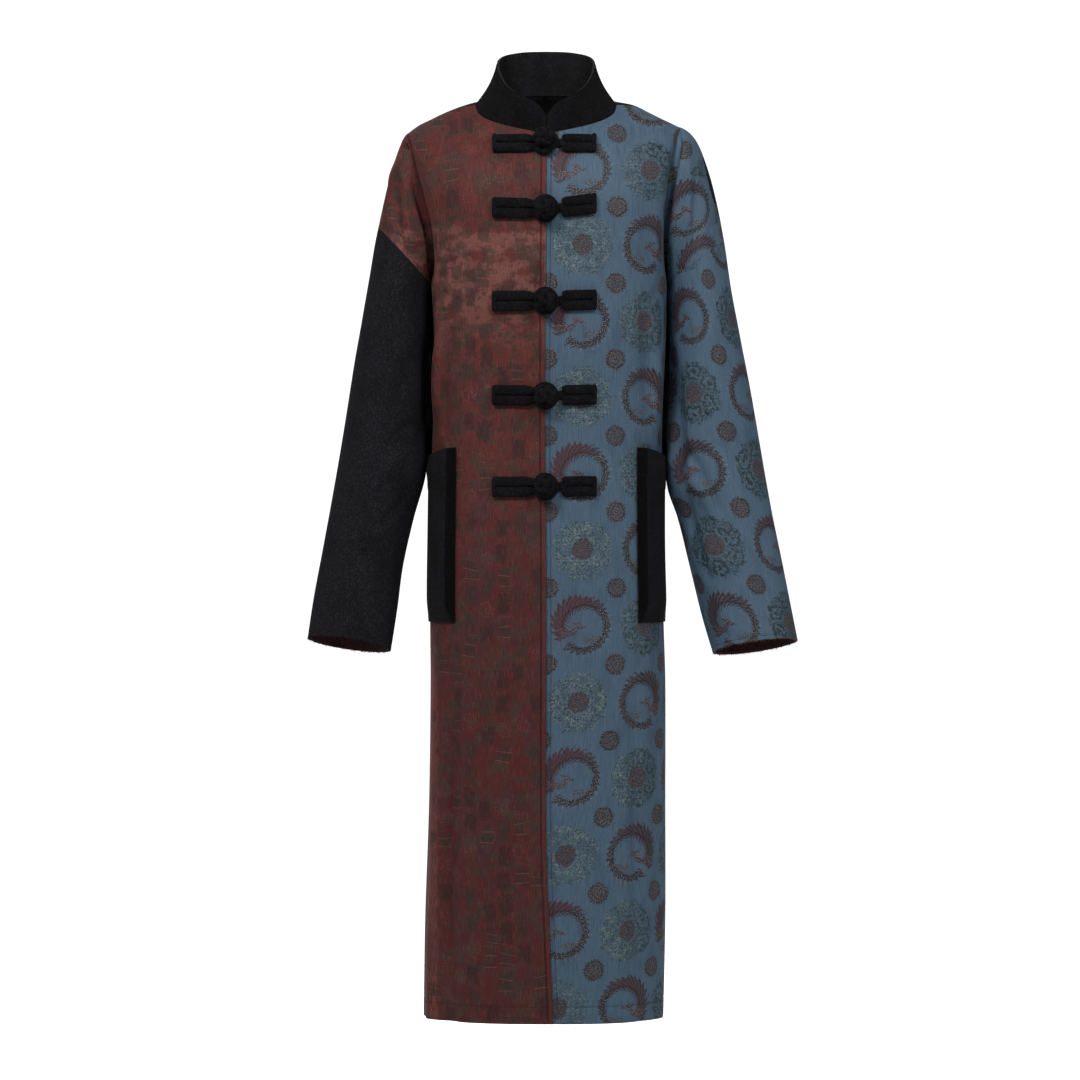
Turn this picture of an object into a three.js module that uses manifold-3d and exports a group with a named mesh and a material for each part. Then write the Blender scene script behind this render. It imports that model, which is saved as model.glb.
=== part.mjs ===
// A long brocade coat with a stand collar, five knotted frog fastenings, dropped shoulders and two
// side pockets, in the hollow shape that it has when it is worn.
// Millimetres, +Z up, +X towards the wearer's left, the front facing -Y.
// The origin is the middle of the shoulder line, level with the two side points of the neck.
// The wearer's right front is red brocade and the left front is blue, so the sides are RED and BLUE.

import * as THREE from "three";
import Module from "manifold-3d";

const wasm = await Module();
wasm.setup();

const RED = -1;
const BLUE = 1;
const FRONT = -1;
const BACK = 1;

// Driving dimensions.
const CLOTH = 2.0;
const COLLAR_CLOTH = 3.0;
const POCKET_CLOTH = 1.8;
const LINING_CLOTH = 1.0;
const SEAM_GAP = 0.3;
const LAID_ON = 0.5;
const CORD_LAID_ON = 0.8;
const HEM_Z = -1180;
const UNDERARM_Z = -234;
const NECK_HALF_WIDTH = 92;
const NECK = {
  [FRONT]: { z: -48, t: 0.42 },
  [BACK]: { z: 18, t: 0.22 },
};
const SHOULDER_TIP_Z = { [RED]: -38, [BLUE]: -29 };
const CHEST_DEPTH = { [FRONT]: 122, [BACK]: 108 };
const ARCH_END = 0.75;
const SECTION_POWER = 2.6;
const FOLD_DEPTH = 50;
const CAP_DEPTH = 60;
const UNDERLAP = { width: 30, inset: 2.4, blend: 8, topDrop: 3 };

/** Rows of numbers under named columns. */
const table = (columns, rows) =>
  rows.map((row) => Object.fromEntries(columns.map((name, i) => [name, row[i]])));

// The trunk's half widths and depths, a row for each level section.
const TRUNK = table(["z", "red", "blue", "front", "back"], [
  [-234, 149, 157, 122, 108],
  [-292, 146, 156, 121, 104],
  [-410, 147, 151, 115, 98],
  [-500, 149, 150.5, 115, 103],
  [-592, 150.5, 151, 120, 112],
  [-680, 150.5, 153, 121, 116],
  [-748, 150, 155, 122, 118],
  [-904, 152, 155, 124, 122],
  [-1054, 157, 155, 126, 125],
  [-1180, 159, 152.5, 127, 127],
]);

// How far the front edge wanders to the wearer's left.
const FRONT_EDGE = table(["z", "x"], [
  [-48, 0.5],
  [-380, -1.5],
  [-640, 0],
  [-950, 0],
  [-1060, 4],
  [-1180, 9],
]);

// The shoulder seam's height, by the distance out from the middle.
const SHOULDER = table(["out", "red", "blue"], [
  [92, 0, 0],
  [104, -1.5, -0.5],
  [117, -5, -2],
  [133, -11, -9.5],
  [151, -19.5, -18.3],
  [166, -27, -25.3],
  [181, -38, -33],
]);

// The fold where the body turns into the sleeve, from the shoulder (t = 0) to the underarm (t = 1).
const ARMHOLE_FOLD = table(["t", "red", "blue"], [
  [0, 181, 174],
  [0.15, 178.3, 172],
  [0.3, 173.5, 167],
  [0.45, 166.5, 161],
  [0.6, 157, 155.7],
  [0.75, 146.5, 152],
  [0.9, 143.8, 153],
  [1, 149, 157],
]);

// The seam along the top of the arm, from the shoulder tip to the dropped seam.
const ARM_SEAM = {
  [RED]: table(["z", "out"], [[-41, 183.5], [-49, 187.5], [-73, 196.5], [-110, 207], [-160, 218]]),
  [BLUE]: table(["z", "out"], [
    [-32, 179.5],
    [-38, 188],
    [-51, 197.5],
    [-73, 206.6],
    [-102, 215.7],
    [-141, 224.8],
    [-177, 231.5],
  ]),
};
const ARM_SEAM_PACE = 1.15;

// Sleeve sections: the middle, the half width across the arm and half depth front to back, and how far
// the section leans out and forward, in degrees. The first one is the dropped seam.
const SLEEVE_COLUMNS = ["out", "y", "z", "half", "deep", "lean", "forward"];
const SLEEVE = {
  [RED]: table(SLEEVE_COLUMNS, [
    [183.5, 0, -197, 50.6, 60, 47, 0],
    [189.5, -2, -240, 44.8, 60, 30, 2],
    [195, -4, -290, 45.3, 61, 16, 3],
    [200.5, -6, -345, 49.1, 62, 9, 5],
    [205.7, -10, -410, 53.8, 62, 7, 8],
    [212, -16, -470, 57, 61, 7, 10],
    [224.9, -25, -530, 54.2, 58, 8, 11],
    [236.7, -36, -590, 52.9, 54, 8, 11],
    [245.1, -47, -645, 54.3, 51, 8, 11],
    [252.9, -58, -699, 54.2, 48, 8, 11],
  ]),
  [BLUE]: table(SLEEVE_COLUMNS, [
    [194.25, 0, -205.5, 46.9, 60, 37.4, 0],
    [200.5, -2, -262, 45.1, 60, 26, 2],
    [206.5, -4, -315, 47.4, 61, 14, 3],
    [211.8, -8, -375, 53.4, 62, 9, 5],
    [215.5, -12, -435, 59.9, 62, 8, 8],
    [222.4, -18, -490, 62, 61, 8, 10],
    [234, -27, -545, 60, 58, 8, 11],
    [245.9, -38, -600, 58.9, 54, 8, 11],
    [257.6, -49, -655, 57.5, 51, 8, 11],
    [268.6, -60, -702, 55.2, 48, 8, 11],
  ]),
};

// The collar's top rim, by the angle round the neck: 0 at the front edges and 180 at the back.
const COLLAR_RIM = table(["angle", "x", "y", "z"], [
  [0, 0, -75, -20],
  [10, 11, -74, -6.5],
  [22, 23, -70, 1],
  [40, 39, -62, 10],
  [58, 52, -49, 21],
  [75, 60, -32, 36],
  [90, 63.5, -12, 50],
  [110, 62, 10, 60],
  [130, 53, 30, 68],
  [155, 31, 45, 73.5],
  [180, 0, 50, 75],
]);
const COLLAR = { ends: 0.6, hollow: 3.5, lift: 0.6, rows: 4 };

// Soft folds of the trunk: the angle round the body (0 front edge, 90 side, 180 middle of the back),
// how far it moves round for each metre down, its run, half width and height.
const TRUNK_FOLDS = table(["side", "angle", "drift", "top", "bottom", "half", "height"], [
  [RED, 61, 90, -245, -440, 10, 7],
  [RED, 78, 60, -245, -440, 9, -6],
  [BLUE, 67, 0, -240, -470, 10, 4],
  [BLUE, 50, 0, -240, -430, 9, -3],
  [RED, 66, 0, -700, -1400, 11, 5],
  [RED, 47, 0, -700, -1400, 10, -6],
  [BLUE, 70, 0, -760, -1400, 12, 3],
  [BLUE, 46, 0, -820, -1400, 12, -3],
  [RED, 128, 6, -320, -1400, 13, 5],
  [RED, 152, 4, -480, -1400, 11, -5],
  [BLUE, 121, 5, -380, -1400, 13, 5],
  [BLUE, 146, -6, -300, -1400, 12, -5],
  [RED, 108, 0, -210, -530, 18, 15],
  [BLUE, 108, 0, -210, -530, 18, 16],
]);
const FOLD_FADE = 110;

// Soft folds round the sleeves: where they lie along the sleeve (section number) and round it.
const SLEEVE_FOLDS = table(["side", "along", "turn", "reach", "half", "height"], [
  [RED, 4.2, 20, 0.9, 60, -4],
  [RED, 5.3, 40, 0.7, 50, 4],
  [RED, 3.4, 250, 0.8, 70, -4],
  [BLUE, 4.9, 20, 0.8, 55, 5],
  [BLUE, 5.8, 45, 0.7, 55, -6],
  [BLUE, 6.8, 60, 0.8, 45, 4],
  [BLUE, 3.6, 250, 0.8, 70, -4],
]);

const POCKET = {
  frontAngle: 45,
  bottom: -671,
  top: { front: -447, slopePerDegree: -0.36 },
  bottomRise: 30,
  band: { deep: 36, raise: 0.8 },
};
// How far each pocket stands off the body, by the angle round the body.
const POCKET_OUT = table(["angle", "out"], [
  [45, 0.5],
  [48.5, 11],
  [54, 10],
  [63, 8],
  [72, 6],
  [81, 3.2],
  [90, 2.2],
  [99, 2.6],
  [108, 3],
  [117, 2.8],
  [126, 0.5],
]);

// The frogs: the height of each knot, and how steeply its two legs rise outwards, in degrees.
const FROGS = table(["z", "redRise", "blueRise"], [
  [-61, 0, 0],
  [-145, 2, 8],
  [-262, 0, 2],
  [-382, 1, 2],
  [-498, 0, 1],
]);
const FROG = {
  knotX: -2,
  tube: { width: 13, height: 7 },
  cord: { width: 9, height: 5.4 },
  legSpread: 6.6,
  redEnd: -65,
  redTurn: -25,
  blueEnd: 60.5,
  blueStart: 20,
  ring: 13.5,
  ringRise: 5.4,
  bar: { width: 6, length: 27.5, height: 7.6, rise: 1.2 },
  tail: { width: 12, height: 4.5 },
  stem: { width: 9, from: 3, to: 17 },
  ball: { radius: 15, flat: 10, height: 18, ridges: 0.7 },
};

// How finely each sheet is divided.
const SECTION_ANGLES = [0, 9, 18, 27, 36, 45, 54, 63, 72, 81, 90];
const YOKE_STEPS = {
  [FRONT]: [0, 0.07, 0.14, 0.21, 0.28, 0.35, 0.42, 0.52, 0.62, 0.72, 0.82, 0.91, 1],
  [BACK]: [0, 0.055, 0.11, 0.165, 0.22, 0.32, 0.42, 0.52, 0.62, 0.72, 0.82, 0.91, 1],
};
const NECK_ANGLES = [0, 15, 30, 45, 60, 75, 90, 112.5, 135, 157.5, 180];
const TRUNK_LEVELS = [
  UNDERARM_Z, -262, -292, -330, -370, -410, -455, -500, -550, -610, -671, -745, -830, -920, -1010,
  -1100, HEM_Z,
];
const CAP_COLUMNS = 8;
const SLEEVE_COLUMNS_ROUND = 16;
const COLLAR_ANGLES = [
  0, 5, 10, 15, 22, 30, 37, 45, 52, 60, 67, 75, 82, 90, 101, 112.5, 124, 135, 146, 157.5, 180,
];

const { clamp, degToRad, lerp, smoothstep } = THREE.MathUtils;
const sin = (degrees) => Math.sin(degToRad(degrees));
const cos = (degrees) => Math.cos(degToRad(degrees));
const vector = (x, y, z) => new THREE.Vector3(x, y, z);
const colourOf = (side) => (side === RED ? "red" : "blue");

/** A column's smooth value at a place on the key column, which only rises or only falls. */
function read(rows, key, at, name) {
  const last = rows.length - 1;
  const way = Math.sign(rows[last][key] - rows[0][key]);
  let i = 0;
  while (i < last - 1 && way * at > way * rows[i + 1][key]) i += 1;
  const slope = (j) => {
    const before = rows[Math.max(j - 1, 0)];
    const after = rows[Math.min(j + 1, last)];
    return (after[name] - before[name]) / (after[key] - before[key]);
  };
  const [p, q] = [rows[i], rows[i + 1]];
  const width = q[key] - p[key];
  const t = clamp((at - p[key]) / width, 0, 1);
  const ease = t * t * (3 - 2 * t);
  const bend = t * (1 - t) * width * (slope(i) * (1 - t) - slope(i + 1) * t);
  return lerp(p[name], q[name], ease) + bend;
}

/** A soft bump, 1 in its middle and 0 from its half width on. */
const bump = (distance, half) => {
  const share = clamp(Math.abs(distance) / half, 0, 1);
  return (1 - share * share) ** 2;
};

// ---------------------------------------------------------------------------------------------
// The garment's surface.

const frontEdge = (z) => read(FRONT_EDGE, "z", z, "x");
const sectionAcross = (angle) => Math.max(sin(angle), 0) ** (2 / SECTION_POWER);
const sectionDeep = (angle) => Math.max(cos(angle), 0) ** (2 / SECTION_POWER);
const dropAt = (t) => 1 - cos(90 * t);
const archAt = (t) => sin(90 * Math.min(1, t / ARCH_END));

/** A point of the trunk below the underarm, by the angle round the body. */
function trunkPoint(side, angle, z, out = 0) {
  const face = angle <= 90 ? FRONT : BACK;
  const quarter = face === FRONT ? angle : 180 - angle;
  const across = sectionAcross(quarter);
  const deep = sectionDeep(quarter);
  const half = read(TRUNK, "z", z, colourOf(side));
  const depth = read(TRUNK, "z", z, face === FRONT ? "front" : "back");
  const middle = face === FRONT ? frontEdge(z) : 0;
  const normal = vector(
    (side * across ** (SECTION_POWER - 1)) / half,
    (face * deep ** (SECTION_POWER - 1)) / depth,
    0,
  ).normalize();
  const point = vector(lerp(middle, side * half, across), face * depth * deep, z);
  return point.addScaledVector(normal, out + trunkFold(side, angle, z));
}

/** How far the trunk's soft folds stand out at a place. */
function trunkFold(side, angle, z) {
  return TRUNK_FOLDS.filter((fold) => fold.side === side).reduce((sum, fold) => {
    const middle = fold.angle + (fold.drift * (fold.top - z)) / 1000;
    const opening = smoothstep(fold.top - z, 0, FOLD_FADE);
    const closing = smoothstep(z - fold.bottom, 0, FOLD_FADE);
    return sum + fold.height * bump(angle - middle, fold.half) * opening * closing;
  }, 0);
}

/** The neck seam, by the angle round the neck: 0 in front, 90 at the side, 180 at the back. */
function neckPoint(side, angle) {
  const face = angle <= 90 ? FRONT : BACK;
  const deep = CHEST_DEPTH[face] * archAt(NECK[face].t);
  const share = Math.abs(cos(angle));
  return vector(
    lerp(side * NECK_HALF_WIDTH * sin(angle), frontEdge(0), face === FRONT ? share ** 4 : 0),
    face * deep * share,
    NECK[face].z * share,
  );
}

/** The direction, into the cloth, in which the neck seam's two rims face each other. */
function neckInward(side, angle) {
  const steep = angle <= 90 ? 0.35 : 0.25;
  const share = Math.abs(cos(angle));
  const aside = sin(angle);
  return vector(-side * aside, -Math.sign(-cos(angle)) * share, -0.8 * aside - steep * share).normalize();
}

/** A value along the neck seam as its straight facets have it. */
function alongNeck(valueAt, side, angle) {
  const next = Math.max(1, NECK_ANGLES.findIndex((step) => step >= angle));
  const [low, high] = [NECK_ANGLES[next - 1], NECK_ANGLES[next]];
  return valueAt(side, low).lerp(valueAt(side, high), (angle - low) / (high - low));
}

/** The yoke's inner line: the neck seam, then the middle of the front or back. */
function innerLine(side, face, t) {
  const { z, t: end } = NECK[face];
  if (t < end) {
    const turn = (90 * t) / end;
    return neckPoint(side, face === FRONT ? 90 - turn : 90 + turn);
  }
  const share = (dropAt(t) - dropAt(end)) / (1 - dropAt(end));
  const height = lerp(z, UNDERARM_Z, share);
  return vector(face === FRONT ? frontEdge(height) : 0, face * CHEST_DEPTH[face] * archAt(t), height);
}

/** The fold between body and sleeve. */
function armholeFold(side, face, t) {
  return vector(
    side * read(ARMHOLE_FOLD, "t", t, colourOf(side)),
    face * FOLD_DEPTH * sin(180 * t),
    lerp(SHOULDER_TIP_Z[side], UNDERARM_Z, dropAt(t)),
  );
}

/** A point of the yoke between its inner line (angle 0) and the armhole fold (angle 90). */
function yokePoint(side, face, angle, t) {
  const inner = innerLine(side, face, t);
  const outer = armholeFold(side, face, t);
  const share = lerp(angle / 90, sectionAcross(angle), Math.min(1, t / 0.5));
  const x = lerp(inner.x, outer.x, share);
  const middle = face === FRONT ? frontEdge(inner.z) : 0;
  const deep = face * CHEST_DEPTH[face] * archAt(t);
  const section = (at) => {
    const across = clamp((at - middle) / (outer.x - middle), 0, 1);
    return lerp(outer.y, deep, (1 - across ** SECTION_POWER) ** (1 / SECTION_POWER));
  };
  const toNeck = (inner.y - section(inner.x)) * (1 - share) ** 2;
  const seam = (out) => read(SHOULDER, "out", out, colourOf(side));
  const tip = Math.abs(armholeFold(side, face, 0).x);
  const seamBow = seam(lerp(NECK_HALF_WIDTH, tip, share)) - lerp(0, SHOULDER_TIP_Z[side], share);
  return vector(x, section(x) + toNeck, lerp(inner.z, outer.z, share) + (1 - t) ** 2 * seamBow);
}

/** The seam along the top of the arm. */
function armSeam(side, t) {
  const rows = ARM_SEAM[side];
  const z = lerp(rows[0].z, rows[rows.length - 1].z, t ** ARM_SEAM_PACE);
  return vector(side * read(rows, "z", z, "out"), 0, z);
}

/** A point of the cap, from the armhole fold (share 0) to the arm seam (share 1). */
function capPoint(side, face, share, t) {
  const inner = armholeFold(side, face, t);
  const outer = armSeam(side, t);
  const start = 25 * (1 - t);
  const turn = lerp(start, 180, share);
  const across = (cos(start) - cos(turn)) / (cos(start) + 1);
  const crest = CAP_DEPTH * sin(90 * Math.min(1, t / 0.5)) ** 0.8;
  const rise = (sin(turn) - sin(start) * (1 - across)) / (1 - sin(start) / 2);
  const foldY = Math.abs(inner.y);
  const y = face * (foldY * (1 - across) + (crest - foldY / 2) * rise);
  return vector(lerp(inner.x, outer.x, across), y, lerp(inner.z, outer.z, across));
}

/** The direction down the sleeve, square to the dropped seam. */
function sleeveAxis(side) {
  const { lean } = SLEEVE[side][0];
  return vector(side * sin(lean), 0, -cos(lean));
}

/** A measure of the sleeve at a place along it. */
function sleeveMeasure(side, along, name) {
  return read(SLEEVE[side].map((row, at) => ({ ...row, at })), "at", along, name);
}

/** The direction from the sleeve's front to its back. */
function sleeveBack(side, along) {
  const forward = sleeveMeasure(side, along, "forward");
  return vector(0, cos(forward), -sin(forward));
}

/** A point of the sleeve: along is the section number, turn is 0 next to the body, 90 in front. */
function sleevePoint(side, turn, along, out = 0) {
  const value = (name) => sleeveMeasure(side, along, name);
  const lean = value("lean");
  const across = vector(side * cos(lean), 0, sin(lean));
  const stand = out + sleeveFold(side, turn, along);
  return vector(side * value("out"), value("y"), value("z"))
    .addScaledVector(across, -cos(turn) * (value("half") + stand))
    .addScaledVector(sleeveBack(side, along), -sin(turn) * (value("deep") + stand));
}

/** How far the sleeve's soft folds stand out at a place. */
function sleeveFold(side, turn, along) {
  return SLEEVE_FOLDS.filter((fold) => fold.side === side).reduce((sum, fold) => {
    const apart = Math.abs(((turn - fold.turn + 540) % 360) - 180);
    return sum + fold.height * bump(along - fold.along, fold.reach) * bump(apart, fold.half);
  }, 0);
}

/** A point of the collar, from the neck seam (share 0) to its rim (share 1). */
function collarPoint(side, angle, share) {
  const foot = alongNeck(neckPoint, side, angle).add(vector(0, 0, COLLAR.lift));
  const rim = vector(
    side * read(COLLAR_RIM, "angle", angle, "x") + frontEdge(0) * Math.max(cos(angle), 0) ** 4,
    read(COLLAR_RIM, "angle", angle, "y"),
    read(COLLAR_RIM, "angle", angle, "z"),
  );
  const point = foot.lerp(rim, share);
  point.x -= side * COLLAR.hollow * Math.sin(Math.PI * share) * sin(angle);
  point.x += side * COLLAR.ends * bump(angle, 20);
  return point;
}

// ---------------------------------------------------------------------------------------------
// Walls of cloth.

/** Marks a point of a cloth's edge whose rim has to stay in the plane square to a direction. */
const keepIn = (point, plane) => Object.assign(point, { planes: [...(point.planes ?? []), plane] });

/** One piece of cloth: patches of its outer surface, closed into a wall of even thickness. */
class Cloth {
  constructor(thickness) {
    this.thickness = thickness;
    this.points = [];
    this.faces = [];
  }

  /** The number of a point, which is the old one where patches meet. */
  add(point) {
    const known = this.points.find((other) => other.distanceToSquared(point) < 1e-4);
    if (known) {
      known.planes = [...(known.planes ?? []), ...(point.planes ?? [])];
      known.inward ??= point.inward;
      return this.points.indexOf(known);
    }
    return this.points.push(point) - 1;
  }

  /** A grid of four-sided faces that look away from a place inside the garment. */
  patch(rows, columns, pointAt, inside) {
    const grid = rows.map((row) => columns.map((column) => this.add(pointAt(row, column))));
    const faces = [];
    let outward = 0;
    for (let i = 0; i + 1 < rows.length; i += 1) {
      for (let j = 0; j + 1 < columns.length; j += 1) {
        const face = [grid[i][j], grid[i + 1][j], grid[i + 1][j + 1], grid[i][j + 1]];
        const middle = vector(0, 0, 0);
        face.forEach((index) => middle.addScaledVector(this.points[index], 0.25));
        outward += this.faceNormal(face).dot(middle.sub(inside(rows[i], columns[j])));
        faces.push(face);
      }
    }
    this.faces.push(...(outward > 0 ? faces : faces.map((face) => [...face].reverse())));
    return this;
  }

  faceNormal([a, b, c, d]) {
    const [p, q, r, s] = [a, b, c, d].map((index) => this.points[index]);
    return r.clone().sub(p).cross(s.clone().sub(q));
  }

  /** Where each point's twin on the inner side of the wall lies. */
  innerPoints() {
    const around = this.points.map(() => []);
    for (const face of this.faces) {
      const normal = this.faceNormal(face).normalize();
      face.forEach((index) => around[index].push(normal));
    }
    return this.points.map((point, index) => {
      const inward = point.inward?.clone() ?? vector(0, 0, 0);
      if (!point.inward) {
        around[index].forEach((normal) => inward.sub(normal));
        for (const plane of point.planes ?? []) inward.addScaledVector(plane, -inward.dot(plane));
        inward.normalize();
      }
      const facing = around[index].reduce((sum, normal) => sum - normal.dot(inward), 0);
      const reach = this.thickness / Math.max(0.5, facing / around[index].length);
      return point.clone().addScaledVector(inward, reach);
    });
  }

  /** The closed wall. */
  geometry() {
    const count = this.points.length;
    const triangles = [];
    const edges = new Map();
    for (const [a, b, c, d] of this.faces) {
      triangles.push(a, b, c, a, c, d);
      triangles.push(a + count, c + count, b + count, a + count, d + count, c + count);
      [[a, b], [b, c], [c, d], [d, a]].forEach(([from, to]) => edges.set(`${from} ${to}`, [from, to]));
    }
    for (const [from, to] of edges.values()) {
      if (edges.has(`${to} ${from}`)) continue;
      triangles.push(to, from, from + count, to, from + count, to + count);
    }
    const all = [...this.points, ...this.innerPoints()];
    const geometry = new THREE.BufferGeometry().setFromPoints(all);
    geometry.setIndex(triangles);
    geometry.computeVertexNormals();
    return geometry;
  }
}

const squareToFront = vector(0, 1, 0);

/** Moves a point of a front or back to its own side of the seam that the two share. */
function atSeam(point, face) {
  point.y += (face * SEAM_GAP) / 2;
  return keepIn(point, squareToFront);
}

/** Adds one side's yoke, cap and trunk, front or back, to a cloth. */
function addBody(cloth, side, face, insetAt = () => 0) {
  const axis = sleeveAxis(side);
  const inset = (point, level) =>
    point.addScaledVector(frontFacing(level), -insetAt(side * (point.x - frontEdge(point.z))));
  const yoke = (t, angle) => {
    const point = inset(yokePoint(side, face, angle, t), t);
    if (t === 0) atSeam(point, face);
    else if (t === 1 && angle === 90) {
      atSeam(point, face);
      point.addScaledVector(axis, -SEAM_GAP / 2);
    }
    if (angle === 0 && t <= NECK[face].t) {
      point.inward = neckInward(side, 90 + (face * 90 * t) / NECK[face].t);
    }
    return point;
  };
  const cap = (t, share) => {
    if (share === 0) return yoke(t, 90);
    const point = capPoint(side, face, share, t);
    if (t === 0 || share === 1) atSeam(point, face);
    if (t === 1) keepIn(point.addScaledVector(axis, -SEAM_GAP / 2), axis);
    return point;
  };
  const trunk = (z, angle) => {
    if (z === UNDERARM_Z) return yoke(1, angle);
    const point = inset(trunkPoint(side, face === FRONT ? angle : 180 - angle, z), z);
    return angle === 90 ? atSeam(point, face) : point;
  };
  const shares = Array.from({ length: CAP_COLUMNS + 1 }, (_, i) => i / CAP_COLUMNS);
  const chest = (t) => vector(0, 0, lerp(-60, UNDERARM_Z, t));
  const arm = (t) => armholeFold(side, face, t).add(armSeam(side, t)).multiplyScalar(0.5).setY(0);
  cloth.patch(YOKE_STEPS[face], SECTION_ANGLES, yoke, chest);
  cloth.patch(YOKE_STEPS[face], shares, cap, (t) => arm(t).add(vector(0, 0, -20 * (1 - t))));
  cloth.patch(TRUNK_LEVELS, SECTION_ANGLES, trunk, (z) => vector(0, 0, z));
}

/** How far the blue front steps back where the red one lies over it. */
const underlapInset = (out) =>
  UNDERLAP.inset * smoothstep(UNDERLAP.blend + 1 - out, 0, UNDERLAP.blend);

/** The direction that the middle of the front faces, at a step of the yoke or a level of the trunk. */
function frontFacing(level) {
  const step = 0.01;
  if (level < 0 || level === 1) return vector(0, -1, 0);
  const start = Math.max(level, NECK[FRONT].t);
  const down = innerLine(BLUE, FRONT, start + step).sub(innerLine(BLUE, FRONT, start));
  return vector(0, down.z, -down.y).normalize();
}

/** The strip of the blue front that lies behind the red one. */
function addUnderlap(cloth) {
  const start = NECK[FRONT].t;
  const levels = [...YOKE_STEPS[FRONT].filter((t) => t >= start && t < 1), ...TRUNK_LEVELS];
  const strip = (level, share) => {
    const surface = (angle) =>
      level >= 0 ? yokePoint(RED, FRONT, angle, level) : trunkPoint(RED, angle, level);
    const [point, next] = [surface(0), surface(SECTION_ANGLES[1])];
    point.lerp(next, (UNDERLAP.width * share) / (point.x - next.x));
    point.addScaledVector(frontFacing(level), -UNDERLAP.inset);
    if (level === start && share > 0) point.z -= UNDERLAP.topDrop;
    if (level === start && share === 0) point.inward = neckInward(BLUE, 0);
    return point;
  };
  cloth.patch(levels, [0, 0.5, 1], strip, (level) => vector(0, 0, Math.min(level, UNDERARM_Z)));
}

function makeFront(side) {
  const cloth = new Cloth(CLOTH);
  addBody(cloth, side, FRONT, side === BLUE ? underlapInset : undefined);
  if (side === BLUE) addUnderlap(cloth);
  return cloth.geometry();
}

function makeBack() {
  const cloth = new Cloth(CLOTH);
  addBody(cloth, RED, BACK);
  addBody(cloth, BLUE, BACK);
  return cloth.geometry();
}

const sleeveMiddle = (side, along) =>
  sleevePoint(side, 0, along).add(sleevePoint(side, 180, along)).multiplyScalar(0.5);

/** Even turns round the sleeve, from one to another. */
function turnsRound(from, to) {
  const count = Math.round((SLEEVE_COLUMNS_ROUND * (to - from)) / 360);
  return Array.from({ length: count + 1 }, (_, i) => lerp(from, to, i / count));
}

/** A sleeve's front or back piece. They meet in seams along the inside and the outside of the arm. */
function makeSleeve(side, face) {
  const axis = sleeveAxis(side);
  const wall = (along, turn) => {
    const point = sleevePoint(side, turn % 360, along);
    if (along === 0) keepIn(point.addScaledVector(axis, SEAM_GAP / 2), axis);
    if (turn % 180 === 0) {
      const back = sleeveBack(side, along);
      keepIn(point.addScaledVector(back, (face * SEAM_GAP) / 2), back);
    }
    return point;
  };
  const turns = face === FRONT ? turnsRound(0, 180) : turnsRound(180, 360);
  const stations = SLEEVE[side].map((_, at) => at);
  return new Cloth(CLOTH).patch(stations, turns, wall, (along) => sleeveMiddle(side, along)).geometry();
}

/** The lining that shows inside a cuff, ending just short of its raw edge. */
function makeCuffLining(side) {
  const wall = (along, turn) => sleevePoint(side, turn % 360, along, -CLOTH - LAID_ON);
  return new Cloth(LINING_CLOTH)
    .patch([7.9, 8.4, 8.97], turnsRound(0, 360), wall, (along) => sleeveMiddle(side, along))
    .geometry();
}

function makeCollar() {
  const cloth = new Cloth(COLLAR_CLOTH);
  const shares = Array.from({ length: COLLAR.rows + 1 }, (_, i) => i / COLLAR.rows);
  const endPlane = vector(1, 0, 0);
  for (const side of [RED, BLUE]) {
    const point = (angle, share) => {
      const made = collarPoint(side, angle, share);
      if (share === 0) made.inward = alongNeck(neckInward, side, angle).normalize();
      if (angle === 0) keepIn(made, endPlane);
      return made;
    };
    cloth.patch(COLLAR_ANGLES, shares, point, () => vector(0, -20, 15));
  }
  return cloth.geometry();
}

// ---------------------------------------------------------------------------------------------
// Pockets: patches that stand off the side of the body, open at the top.

function pocketOut(angle, z, top) {
  const foot = smoothstep(z - POCKET.bottom, 0, POCKET.bottomRise);
  const band = top - z < POCKET.band.deep ? POCKET.band.raise : 0;
  return LAID_ON + (read(POCKET_OUT, "angle", angle, "out") - LAID_ON) * foot + band;
}

function makePocket(side) {
  const cloth = new Cloth(POCKET_CLOTH);
  const angles = POCKET_OUT.map((row) => row.angle);
  const levels = [0, 0.15, 0.17, 0.4, 0.65, 0.87, 0.96, 1];
  const point = (share, angle) => {
    const top = POCKET.top.front + POCKET.top.slopePerDegree * (angle - POCKET.frontAngle);
    const z = lerp(top, POCKET.bottom, share);
    return trunkPoint(side, angle, z, pocketOut(angle, z, top) + POCKET_CLOTH);
  };
  return cloth.patch(levels, angles, point, () => vector(0, 0, -560)).geometry();
}

// ---------------------------------------------------------------------------------------------
// Frogs: flat loops and knotted buttons of round cord.

/** The body's front surface at a place on it, with the direction that it faces. */
function onFront(x, z) {
  const side = x < frontEdge(z) ? RED : BLUE;
  const surface = (atX, atZ) => {
    if (atZ <= UNDERARM_Z) {
      const half = read(TRUNK, "z", atZ, colourOf(side));
      const middle = frontEdge(atZ);
      const share = clamp((atX - middle) / (side * half - middle), 0, 1);
      return trunkPoint(side, Math.asin(share ** (SECTION_POWER / 2)) * THREE.MathUtils.RAD2DEG, atZ);
    }
    let [low, high] = [0.3, 1];
    let found = vector(0, 0, 0);
    for (let i = 0; i < 24; i += 1) {
      const t = (low + high) / 2;
      const from = innerLine(side, FRONT, t).x;
      const share = clamp((atX - from) / (armholeFold(side, FRONT, t).x - from), 0, 1);
      found = yokePoint(side, FRONT, yokeAngle(share, t), t);
      if (found.z > atZ) low = t;
      else high = t;
    }
    return found;
  };
  const point = surface(x, z);
  const [acrossStep, downStep] = [side * 4, -4];
  const across = surface(x + acrossStep, z).sub(point);
  const down = surface(x, z + downStep).sub(point);
  const normal = across.cross(down).normalize();
  return { point, normal: normal.y > 0 ? normal.negate() : normal };
}

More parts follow.
